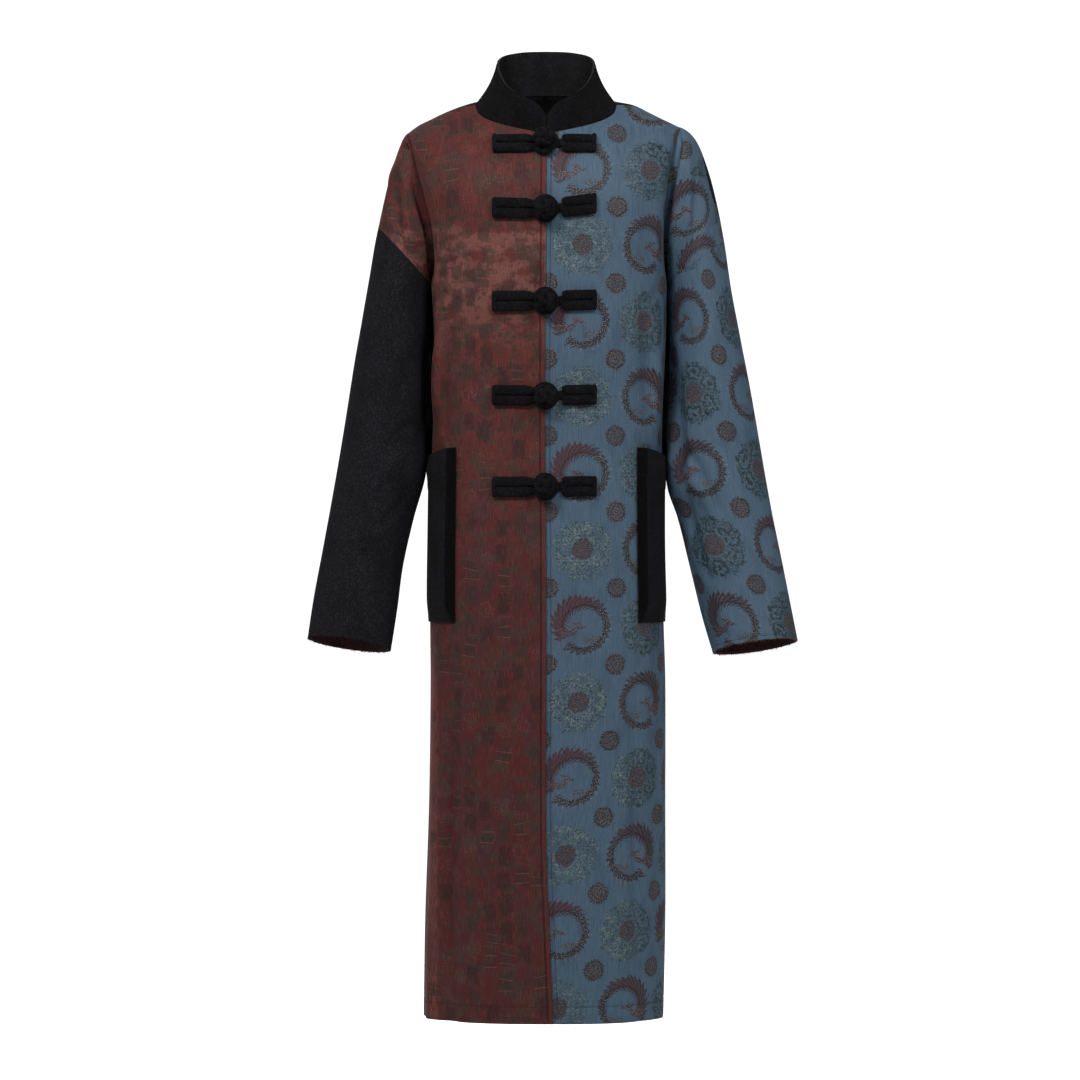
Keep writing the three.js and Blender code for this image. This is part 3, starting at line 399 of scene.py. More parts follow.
def cap_point(side, face, share, t):
    """Points of the cap, from the armhole fold (share 0) to the arm seam (share 1)."""
    share, t = arrays(share, t)
    inner, outer = armhole_fold(side, face, t), arm_seam(side, t)
    start = 25 * (1 - t)
    turn = lerp(start, 180, share)
    across = (cos(start) - cos(turn)) / (cos(start) + 1)
    crest = CAP_DEPTH * sin(90 * np.minimum(1, t / 0.5)) ** 0.8
    rise = (sin(turn) - sin(start) * (1 - across)) / (1 - sin(start) / 2)
    fold_y = np.abs(inner[..., 1])
    y = face * (fold_y * (1 - across) + (crest - fold_y / 2) * rise)
    return vectors(lerp(inner[..., 0], outer[..., 0], across), y, lerp(inner[..., 2], outer[..., 2], across))


def sleeve_axis(side):
    """The direction down the sleeve, square to the dropped seam."""
    lean = SLEEVE[side]["lean"][0]
    return vectors(side * sin(lean), 0, -cos(lean))


def sleeve_fold(side, turn, along):
    total = 0.0
    for i in np.flatnonzero(SLEEVE_FOLDS["side"] == side):
        fold = {name: column[i] for name, column in SLEEVE_FOLDS.items()}
        apart = np.abs((turn - fold["turn"] + 540) % 360 - 180)
        near = bump(along - fold["along"], fold["reach"]) * bump(apart, fold["half"])
        total = total + fold["height"] * near
    return total


def sleeve_point(side, turn, along, out=0.0):
    """Points of the sleeve: turn is 0 next to the body, 90 in front, 180 outside."""
    turn, along, out = arrays(turn, along, out)
    value = {name: read(SLEEVE[side], "at", along, name) for name in SLEEVE[side] if name != "at"}
    across = vectors(side * cos(value["lean"]), 0, sin(value["lean"]))
    back = vectors(0, cos(value["forward"]), -sin(value["forward"]))
    stand = out + sleeve_fold(side, turn, along)
    middle = vectors(side * value["out"], value["y"], value["z"])
    return (middle - across * (cos(turn) * (value["half"] + stand))[..., None]
            - back * (sin(turn) * (value["deep"] + stand))[..., None])


def collar_point(side, angle, share):
    """Points of the collar, from the neck seam (share 0) to its rim (share 1)."""
    angle, share = arrays(angle, share)
    foot = along_neck(neck_point, side, angle) + vectors(0, 0, COLLAR_LIFT)
    rim_x = side * read(COLLAR_RIM, "angle", angle, "x") + front_edge(0) * np.maximum(cos(angle), 0) ** 4
    rim = vectors(rim_x, read(COLLAR_RIM, "angle", angle, "y"), read(COLLAR_RIM, "angle", angle, "z"))
    point = lerp(foot, rim, share[..., None])
    point[..., 0] += side * (COLLAR_ENDS * bump(angle, 20) - COLLAR_HOLLOW * sin(180 * share) * sin(angle))
    return point


def folds_at(folds, side, face, points):
    """How far the listed folds stand out at places on the cloth."""
    x, z = points[..., 0], points[..., 2]
    total = np.zeros(x.shape)
    for i in np.flatnonzero((folds["side"] == side) & (folds["face"] == face)):
        fold = {name: column[i] for name, column in folds.items()}
        dx, dz = fold["x1"] - fold["x0"], fold["z1"] - fold["z0"]
        length = math.hypot(dx, dz)
        along = ((x - fold["x0"]) * dx + (z - fold["z0"]) * dz) / length**2
        aside = ((x - fold["x0"]) * dz - (z - fold["z0"]) * dx) / length
        aside = aside - fold["bow"] * 4 * along * (1 - along)
        half = np.where(aside > 0, fold["half"], fold["half"] * fold["steep"])
        total += fold["height"] * bump(aside, half) * smooth(along, 0, 0.3) * smooth(1 - along, 0, 0.3)
    return total


def run_lengths(points, start=0.0):
    """The distance along each row of a grid of points."""
    steps = np.linalg.norm(np.diff(points, axis=1), axis=-1)
    return start + np.concatenate([np.zeros((len(points), 1)), np.cumsum(steps, axis=1)], axis=1)


# -------------------------------------------------------------------------------------------------
# Meshes.

def new_object(name, verts, faces, uvs=None, face_materials=None, sharp=40):
    """A mesh object from millimetre points."""
    mesh = bpy.data.meshes.new(name)
    mesh.from_pydata((np.asarray(verts) * MM).tolist(), [], [list(face) for face in faces])
    if uvs is not None:
        layer = mesh.uv_layers.new(name="cloth")
        layer.data.foreach_set("uv", (np.asarray(uvs, float) * MM).ravel())
    mesh.polygons.foreach_set("use_smooth", [True] * len(mesh.polygons))
    if face_materials is not None:
        mesh.polygons.foreach_set("material_index", face_materials)
    mesh.set_sharp_from_angle(angle=math.radians(sharp))
    mesh.validate()
    made = bpy.data.objects.new(name, mesh)
    bpy.context.scene.collection.objects.link(made)
    return made


def place_piece(made, slot, materials, *nodes):
    """Finishes a piece: its materials, the solids that it stands for, and its body. slot is not used."""
    for material in materials:
        made.data.materials.append(material)
    if nodes:
        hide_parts(*nodes)
    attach(made, "root")
    return made


class Cloth:
    """One piece of cloth: patches of its outer surface, closed into a wall of even thickness."""

    def __init__(self, thickness):
        self.thickness = thickness
        self.points, self.raised, self.uvs, self.faces, self.other = [], [], [], [], []
        self.pins, self.inward = [], []
        self.count = 0

    def patch(self, points, uv, inside, raised=0.0, pins=(), inward=None, other=None):
        """A grid of faces that look away from places inside the garment. Each pin is a choice of points
        and a direction: the rim of those points stays in the plane square to that direction. The faces
        that other chooses take the piece's third material."""
        rows, columns = points.shape[:2]
        index = np.arange(rows * columns).reshape(rows, columns) + self.count
        faces = np.stack([index[:-1, :-1], index[1:, :-1], index[1:, 1:], index[:-1, 1:]], -1).reshape(-1, 4)
        flat = points.reshape(-1, 3)
        corners = flat[faces - self.count]
        normals = np.cross(corners[:, 2] - corners[:, 0], corners[:, 3] - corners[:, 1])
        inside = np.broadcast_to(inside, points.shape).reshape(-1, 3)
        if np.sum(normals * (corners.mean(1) - inside[faces - self.count].mean(1))) < 0:
            faces = faces[:, ::-1]
        project = np.broadcast_to(np.eye(3), (rows, columns, 3, 3)).copy()
        for chosen, direction in pins:
            direction = np.asarray(direction, float).ravel()
            project[chosen] = project[chosen] @ (np.eye(3) - np.outer(direction, direction))
        given = np.full(points.shape, np.nan) if inward is None else inward
        self.points.append(flat)
        self.raised.append(np.broadcast_to(raised, (rows, columns)).ravel())
        self.uvs.append(uv.reshape(-1, 2))
        self.faces.append(faces)
        self.other.append(np.zeros(len(faces), bool) if other is None else other[:-1, :-1].ravel())
        self.pins.append(project.reshape(-1, 3, 3))
        self.inward.append(given.reshape(-1, 3))
        self.count += rows * columns
        return self

    def make(self, name, rim_material=0):
        """The closed wall as a mesh object, with material 0 outside and 1 inside."""
        points, raised = np.concatenate(self.points), np.concatenate(self.raised)
        uvs, faces, other = (np.concatenate(part) for part in (self.uvs, self.faces, self.other))
        _, first, same = np.unique(np.round(points, 2), axis=0, return_index=True, return_inverse=True)
        same = same.ravel()
        count = len(first)
        outer, lift = points[first], raised[first]
        project = np.broadcast_to(np.eye(3), (count, 3, 3)).copy()
        for i in np.flatnonzero(np.any(np.concatenate(self.pins) != np.eye(3), axis=(1, 2))):
            project[same[i]] = project[same[i]] @ np.concatenate(self.pins)[i]
        given = np.full((count, 3), np.nan)
        told = np.concatenate(self.inward)
        known = ~np.isnan(told[:, 0])
        given[same[known]] = told[known]

        quads, quad_uvs = same[faces], uvs[faces]
        whole = (quads[:, 0] != quads[:, 2]) & (quads[:, 1] != quads[:, 3])
        whole &= (quads[:, 0] != quads[:, 1]) & (quads[:, 2] != quads[:, 3])
        quads, quad_uvs, other = quads[whole], quad_uvs[whole], other[whole]

        def normals_at():
            corners = outer[quads]
            normal = np.cross(corners[:, 2] - corners[:, 0], corners[:, 3] - corners[:, 1])
            total = np.zeros((count, 3))
            for k in range(4):
                np.add.at(total, quads[:, k], normal)
            return unit(total)

        outer = outer + normals_at() * lift[:, None]
        normals = normals_at()
        inward = np.einsum("nij,nj->ni", project, -normals)
        inward = unit(np.where(np.isnan(given), inward, given))
        facing = np.maximum(0.5, -np.sum(inward * normals, axis=1))
        inner = outer + inward * (self.thickness / facing)[:, None]

        edges = {}
        for k in range(4):
            for face, (start, end) in enumerate(zip(quads[:, k], quads[:, (k + 1) % 4])):
                edges[(start, end)] = (face, k)
        rims, rim_uvs = [], []
        for (start, end), (face, k) in edges.items():
            if (end, start) not in edges:
                rims.append((end, start, start + count, end + count))
                a, b = quad_uvs[face, k], quad_uvs[face, (k + 1) % 4]
                rim_uvs.append((b, a, a, b))
        all_faces = np.concatenate([quads, quads[:, ::-1] + count, np.array(rims)])
        all_uvs = np.concatenate([quad_uvs, quad_uvs[:, ::-1], np.array(rim_uvs)])
        materials = np.concatenate(
            [np.where(other, 2, 0), np.full(len(quads), 1), np.full(len(rims), rim_material)])
        return new_object(name, np.concatenate([outer, inner]), all_faces, all_uvs.reshape(-1, 2), materials)


def tube_faces(spans, count, sides):
    """The faces between rings of points, for so many spans of a number of rings."""
    return [(i * sides + j, i * sides + (j + 1) % sides,
             (i + 1) % count * sides + (j + 1) % sides, (i + 1) % count * sides + j)
            for i in range(spans) for j in range(sides)]


def skin(rings):
    """A closed tube through rings of points, as points and faces."""
    rings = np.asarray(rings, float)
    count, sides = rings.shape[:2]
    ends = [tuple(range(sides))[::-1], tuple(range((count - 1) * sides, count * sides))]
    return rings.reshape(-1, 3), tube_faces(count - 1, count, sides) + ends


def join(parts):
    """Several pairs of points and faces as one pair."""
    points, faces, start = [], [], 0
    for some_points, some_faces in parts:
        points.append(some_points)
        faces += [tuple(int(i) + start for i in face) for face in some_faces]
        start += len(some_points)
    return np.concatenate(points), faces


def at_distance(distance, along, values):
    """Places or directions of a line at a distance along it."""
    return np.array([np.interp(distance, along, values[:, k]) for k in range(3)])


def stitch_run(line, normals, pitch=3.4, length=2.3, width=0.75, lift=0.15):
    """Small raised stitches along a line on the cloth."""
    at = run_lengths(line[None])[0]
    parts = []
    for middle in np.arange(pitch, at[-1] - pitch, pitch):
        ends = [at_distance(middle + half, at, line) for half in (-length / 2, length / 2)]
        normal = unit(at_distance(middle, at, normals))
        along = unit(ends[1] - ends[0])
        across = np.cross(along, normal)
        rings = []
        for share, size in ((0, 0.35), (0.2, 1), (0.8, 1), (1, 0.35)):
            centre = lerp(ends[0], ends[1], share) + normal * (lift * size)
            rings.append([centre + (across * math.cos(turn) + normal * 0.6 * math.sin(turn))
                          * width / 2 * size for turn in np.arange(5) * math.tau / 5])
        parts.append(skin(rings))
    return join(parts)


def grid_normals(points, inside):
    """The outward direction at each point of a grid."""
    normal = unit(np.cross(np.gradient(points, axis=0), np.gradient(points, axis=1)))
    outward = np.sum(normal * (points - inside), axis=-1, keepdims=True)
    return normal * np.where(outward < 0, -1, 1)


# -------------------------------------------------------------------------------------------------
# Materials. A Field is a number that varies over a surface, so patterns are written as arithmetic.

def feed(tree, slot, value):
    """Gives a node's input a Field or a number."""
    if isinstance(value, Field):
        tree.links.new(value.socket, slot)
    else:
        slot.default_value = value


class Field:
    def __init__(self, tree, socket):
        self.tree, self.socket = tree, socket

    def math(self, operation, *others):
        node = self.tree.nodes.new("ShaderNodeMath")
        node.operation = operation
        for slot, value in zip(node.inputs, (self, *others)):
            feed(self.tree, slot, value)
        return Field(self.tree, node.outputs[0])

    __add__ = __radd__ = partialmethod(math, "ADD")
    __sub__ = partialmethod(math, "SUBTRACT")
    __mul__ = __rmul__ = partialmethod(math, "MULTIPLY")
    __truediv__ = partialmethod(math, "DIVIDE")
    __abs__ = partialmethod(math, "ABSOLUTE")
    sin, cos = partialmethod(math, "SINE"), partialmethod(math, "COSINE")
    round, floor = partialmethod(math, "ROUND"), partialmethod(math, "FLOOR")
    share = partialmethod(math, "FRACT")
    most, least = partialmethod(math, "MAXIMUM"), partialmethod(math, "MINIMUM")

    def __rsub__(self, other):
        return (self * -1) + other

    def odd(self):
        """1 where a whole number is odd."""
        return abs(self.math("MODULO", 2.0))

    def clamped(self):
        return self.most(0.0).least(1.0)

    def rises(self, low, high):
        """0 below low, 1 above high, and smooth between."""
        node = self.tree.nodes.new("ShaderNodeMapRange")
        node.interpolation_type = "SMOOTHSTEP"
        self.tree.links.new(self.socket, node.inputs["Value"])
        for name, value in (("From Min", low), ("From Max", high)):
            feed(self.tree, node.inputs[name], value)
        return Field(self.tree, node.outputs["Result"])

    def falls(self, low, high):
        return 1 - self.rises(low, high)


def length(x, y):
    return (x * x + y * y).math("SQRT")


def wave(x, y):
    """The angle of a direction, in radians."""
    return y.math("ARCTAN2", x)


class Surface:
    """A material in the making: cloth coordinates in millimetres, noises, colours and relief."""

    def __init__(self, name, roughness, specular, sheen=0.0, sheen_tint=(1, 1, 1), sheen_roughness=0.45):
        self.material = bpy.data.materials.new(name)
        self.material.use_nodes = True
        self.tree = self.material.node_tree
        self.shader = self.tree.nodes["Principled BSDF"]
        settings = {"Roughness": roughness, "Specular IOR Level": specular, "Sheen Weight": sheen,
                    "Sheen Roughness": sheen_roughness, "Sheen Tint": (*sheen_tint, 1)}
        for socket, value in settings.items():
            self.shader.inputs[socket].default_value = value
        self.mixed = None
        self.relief = None

    def cloth(self):
        """The place on the cloth, in millimetres."""
        node = self.tree.nodes.new("ShaderNodeUVMap")
        node.uv_map = "cloth"
        split = self.tree.nodes.new("ShaderNodeSeparateXYZ")
        self.tree.links.new(node.outputs[0], split.inputs[0])
        return Field(self.tree, split.outputs[0]) * 1000, Field(self.tree, split.outputs[1]) * 1000

    def space(self):
        """The place in space, in millimetres."""
        node = self.tree.nodes.new("ShaderNodeTexCoord")
        split = self.tree.nodes.new("ShaderNodeSeparateXYZ")
        self.tree.links.new(node.outputs["Object"], split.inputs[0])
        return [Field(self.tree, split.outputs[i]) * 1000 for i in range(3)]

    def _texture(self, kind, place):
        node = self.tree.nodes.new(kind)
        join_xyz = self.tree.nodes.new("ShaderNodeCombineXYZ")
        for slot, value in zip(join_xyz.inputs, place):
            feed(self.tree, slot, value)
        self.tree.links.new(join_xyz.outputs[0], node.inputs["Vector"])
        return node

    def noise(self, place, detail=2.0, roughness=0.5):
        """A cloudy noise from 0 to 1, for places already divided by its grain."""
        node = self._texture("ShaderNodeTexNoise", place)
        node.inputs["Scale"].default_value = 1.0
        node.inputs["Detail"].default_value = detail
        node.inputs["Roughness"].default_value = roughness
        return Field(self.tree, node.outputs[0])

    def cells(self, place):
        """Scattered cells: the distance to the nearest one's middle."""
        node = self._texture("ShaderNodeTexVoronoi", place)
        node.inputs["Scale"].default_value = 1.0
        return Field(self.tree, node.outputs["Distance"])

    def paint(self, colour, cover=1.0):
        """Lays a colour over what is there, as far as its cover reaches."""
        if self.mixed is None:
            node = self.tree.nodes.new("ShaderNodeRGB")
            node.outputs[0].default_value = (*linear(colour), 1)
            self.mixed = node.outputs[0]
            return self
        node = self.tree.nodes.new("ShaderNodeMix")
        node.data_type = "RGBA"
        feed(self.tree, node.inputs["Factor"], cover.clamped() if isinstance(cover, Field) else cover)
        self.tree.links.new(self.mixed, node.inputs["A"])
        node.inputs["B"].default_value = (*linear(colour), 1)
        self.mixed = node.outputs["Result"]
        return self

    def raise_by(self, height):
        """Adds to the fine relief, in millimetres."""
        self.relief = height if self.relief is None else self.relief + height
        return self

    def gloss(self, field):
        """Lets the roughness vary."""
        self.tree.links.new(field.socket, self.shader.inputs["Roughness"])
        return self

    def done(self):
        if self.mixed is not None:
            self.tree.links.new(self.mixed, self.shader.inputs["Base Color"])
        if self.relief is not None:
            node = self.tree.nodes.new("ShaderNodeBump")
            node.inputs["Strength"].default_value = 1.0
            node.inputs["Distance"].default_value = MM
            self.tree.links.new(self.relief.socket, node.inputs["Height"])
            self.tree.links.new(node.outputs[0], self.shader.inputs["Normal"])
        return self.material


def linear(colour):
    """The colour that shows as these 0 to 255 display values under the studio's light on the coat."""
    share = np.asarray(colour, float) / 255
    light = np.where(share <= 0.04045, share / 12.92, ((share + 0.055) / 1.055) ** 2.4)
    return tuple(np.minimum(light / LIGHT_ON_CLOTH, 1))


# The lattice of the blue brocade's motifs, and the red one's cells, in millimetres.
LATTICE_ACROSS, LATTICE_DOWN = 88.5, 97.0
CELL_ACROSS, CELL_DOWN = 22, 32
BLUE_GROUND, BLUE_DEEP, BLUE_PALE = (82, 106, 126), (56, 76, 98), (124, 142, 154)
MOTIF_BROWN, MOTIF_DARK, MOTIF_SILVER, TEAL = (60, 52, 58), (30, 27, 34), (158, 160, 150), (26, 44, 50)


def capsule(x, y, start, end, radius, tip):
    """The distance outside a rod from one place to another, which narrows from a radius to its tip's."""
    dx, dy = end[0] - start[0], end[1] - start[1]
    share = (((x - start[0]) * dx + (y - start[1]) * dy) / (dx * dx + dy * dy)).clamped()
    away = length(x - (share * dx + start[0]), y - (share * dy + start[1]))
    return away - (share * (tip - radius) + radius)


def blue_brocade(name, silver, clear_from):
    """Blue silk with woven medallions: silver is how pale their threads show, and clear_from how far
    from the middle of the coat their dark outlines grow clear and their pale threads fade. That change
    towards the sides is painted sheen, for the silk's sheen where the cloth turns away."""
    made = Surface(name, roughness=0.58, sheen=0.06, sheen_tint=(0.6, 0.8, 1), specular=0.25)
    u, v = made.cloth()
    # Painted sheen: from clear_from outwards the dark outlines grow clear and the pale threads fade, as the
    # silk's sheen changes where the cloth turns to the side.
    aside = abs(made.space()[0]).rises(clear_from, clear_from + 50)
    warp = made.noise((u / 1.3, v / 26), 2)
    cloud = made.noise((u / 34, v / 60), 3)
    speck = made.noise((u / 1.35, v / 1.35), 1)
    fleck = made.cells((u / 2.4, v / 2.4))
    made.paint(BLUE_GROUND)
    made.paint(BLUE_DEEP, warp.rises(0.42, 0.72) * 0.55)
    made.paint(BLUE_PALE, made.noise((u / 1.1, v / 40, 3.0), 1).rises(0.6, 0.8) * 0.3)
    made.paint(BLUE_DEEP, cloud.rises(0.5, 0.75) * 0.45)
    made.paint((76, 84, 108), made.noise((u / 16, v / 50, 7.0), 2).rises(0.55, 0.75) * 0.4)

    wander = made.noise((u / 5, v / 5, 9.0), 1) - 0.5
    drift = made.noise((u / 17, v / 17, 5.0), 1) - 0.5
    shown = made.noise((u / 70, v / 80, 2.0), 2).rises(0.3, 0.6) * 0.35 + 0.65
    # deep carries the painted sheen of the sides into the dark outlines.
    pale, deep = shown * silver, shown * (aside * 0.5 + 0.5)
    light_specks, dark_specks = speck.rises(0.56, 0.68) * pale, fleck.falls(0.18, 0.42)
    column, row = (u / LATTICE_ACROSS).round(), (v / -LATTICE_DOWN).round()
    odd = (column + row).odd()
    even = 1 - odd
    mirror = 1 - column.odd() * 2
    p, q = (u - column * LATTICE_ACROSS) * mirror, v + row * LATTICE_DOWN
    r, turn = length(p, q), wave(p, q)

    # The flower medallion: lace with blossoms round a speckled heart.
    sector = math.tau / 6
    spun = turn + drift * 1.1
    folded = abs((spun / sector).share() - 0.5) * sector
    px, py = folded.cos() * r - 27.5 - wander * 5, folded.sin() * r
    blossom, leaf_turn = length(px, py), wave(px, py)
    petals = 7.6 + abs((leaf_turn * 2.5).cos()) * 3 + wander * 4
    line = abs(blossom - petals).falls(0.8, 2.4)
    heart_line = blossom.falls(2.2, 3.6)
    lace_edge = 40 + (spun * 13).cos() * 2 + wander * 12 + drift * 6
    lace = odd * r.falls(lace_edge - 3, lace_edge) * r.rises(12.5, 14.5)
    between = lace * blossom.rises(petals, petals + 1.5)
    scroll = abs((r * 0.6 + spun * 4 + wander * 14).sin()).falls(0.2, 0.7)
    gaps = made.noise((u / 4.2, v / 4.2, 6.0), 1)
    curls = made.noise((u / 5, v / 5, 21.0), 1)
    made.paint((58, 80, 84), lace * gaps.rises(0.42, 0.56) * 0.3)
    made.paint(TEAL, between * scroll * deep * (aside * 0.6 + 0.1))
    worn = made.noise((u / 13, v / 13, 17.0), 2).rises(0.4, 0.58) * 0.7 + 0.3
    made.paint(TEAL, lace * abs(gaps - 0.5).falls(0.015, 0.065) * shown * 0.7)
    made.paint(TEAL, lace * line.most(heart_line) * gaps.rises(0.3, 0.42) * (aside * 0.9 + 0.1) * shown)
    made.paint((34, 48, 48), lace * dark_specks * 0.6 * shown)
    threads = abs(curls - 0.48).falls(0.012, 0.045)
    # The pale threads fade towards the sides: painted sheen.
    made.paint((136, 150, 142), lace * threads * worn * pale * (0.85 - aside * 0.6))
    made.paint((146, 156, 146), lace * light_specks * worn * (0.7 - aside * 0.4))
    heart = odd * r.falls(12.8 + wander * 6, 14.2 + wander * 6)
    made.paint(MOTIF_BROWN, heart * 0.85)
    made.paint((84, 54, 58), heart * made.noise((u / 6, v / 6, 14.0), 1).rises(0.5, 0.62) * 0.5)
    made.paint(MOTIF_DARK, heart * dark_specks * 0.9)
    made.paint((142, 134, 124), heart * light_specks * 0.9)

    # The bird medallion: a ring of feathers, thick at the wing and thin at the tail, round a small
    # head. Pale spines fringe the tail's outer edge.
    wing = (turn - 2.4 + drift * 0.9).cos() * 0.5 + 0.5
    ring, half_band = 30.5, 4.4 + wing * wing * 5.2
    feather = (turn * 4.6 + r * 0.16 + wander * 0.9).share()
    ragged = made.noise((turn * 7, r / 7, 4.0), 1) - 0.5
    outer_edge = ring + half_band + (feather - 0.45) * (2.6 + wing * 5.5) + ragged * 6
    inner_edge = ring - half_band - (feather - 0.5) * (2 + wing * 6) + ragged * 6
    gap = abs(turn + 2.42 + wander * 0.2).rises(0.08, 0.24)
    band = even * r.falls(outer_edge - 1, outer_edge + 0.7) * r.rises(inner_edge - 0.7, inner_edge + 1) * gap
    stripes = (turn * 26 + r * 1.1 + wander * 5).sin().rises(-0.1, 0.7)
    scales = ((turn * 40).sin() * (r * 1.5 + wander * 2).sin()).rises(0.1, 0.5)
    tail = 1 - wing.rises(0.4, 0.8)
    spine = abs(r - outer_edge - 0.4 - feather * 2.4).falls(0.4, 1.2) * even * tail * gap
    made.paint((58, 53, 62), band * 0.9)
    made.paint((88, 54, 62), band * wing.rises(0.45, 0.85) * (0.75 - aside * 0.4))
    made.paint(MOTIF_DARK, band * stripes * (wing * 0.45 + 0.5) * deep)
    made.paint(MOTIF_DARK, band * tail * scales * 0.8)
    made.paint(MOTIF_DARK, band * abs(r - ring + half_band * 0.45).falls(0.5, 1.8) * 0.6)
    made.paint(MOTIF_SILVER, (band * (tail * 0.75 + 0.25)).most(spine) * light_specks)
    neck = capsule(p, q, (-28, -8), (-14, -9), 5.5, 3.4).least(capsule(p, q, (-14, -8), (-6, 0), 3.4, 2.8))
    beak = capsule(p, q, (-6, 0.5), (4, -2), 3.2, 0.7)
    crest = capsule(p, q, (-9, 2), (-15, 5), 2.4, 0.8)
    plume = capsule(p, q, (6, -18), (15, -16), 4, 2.6).least(capsule(p, q, (15, -16), (25, -13), 2.6, 1.6))
    figure = even * (neck.least(beak).least(crest) + wander * 7).falls(-1, 1.2)
    trail = even * (plume + wander * 6).falls(-1, 1.4)
    made.paint((84, 58, 64), figure * 0.75)
    made.paint(MOTIF_DARK, figure * (p * 0.9 - q * 1.3 + wander * 8).sin().rises(0.1, 0.8) * deep)
    made.paint((70, 68, 74), trail * 0.7)
    made.paint(MOTIF_SILVER, figure.most(trail) * light_specks)

    # The small rosettes at the middles of the cells.
    s = u - ((u / LATTICE_ACROSS).floor() + 0.5) * LATTICE_ACROSS
    t = v - ((v / LATTICE_DOWN).floor() + 0.5) * LATTICE_DOWN
    far, round_about = length(s, t), wave(s, t)
    edge = 13.2 + (round_about * 21).sin() * 0.9 + wander * 4.5
    disc = far.falls(edge - 0.9, edge + 0.9)
    curl = (far * 1.3 + (round_about * 5).sin() * 1.6 + wander * 6).sin()
    made.paint(MOTIF_BROWN, disc * 0.82)
    made.paint(MOTIF_DARK, disc * curl.rises(0.1, 0.8) * 0.6 * deep)
    made.paint(MOTIF_DARK, disc * abs(far - edge + 1.6).falls(0.6, 1.8) * 0.55)
    made.paint(MOTIF_DARK, disc * dark_specks * 0.9)
    made.paint((156, 147, 132), disc * light_specks.most(curl.falls(-0.95, -0.7) * worn * pale * 0.35) * 0.9)

    # Loose grain: single threads that show pale or dark.
    grain = made.noise((u / 1.9, v / 2.3, 8.0), 2)
    made.paint((132, 148, 156), grain.rises(0.64, 0.78) * 0.35)
    made.paint((40, 54, 70), grain.falls(0.26, 0.4) * 0.45)

    weave = (u * (math.tau / 1.3)).sin() * 0.02 + (v * (math.tau / 1.1)).sin() * 0.015
    motif = lace.most(band).most(disc).most(figure)
    made.raise_by(weave + motif * (0.12 + speck * 0.25) + warp * 0.14)
    made.gloss(0.56 - motif * 0.06 + warp * 0.12)
    return made.done()


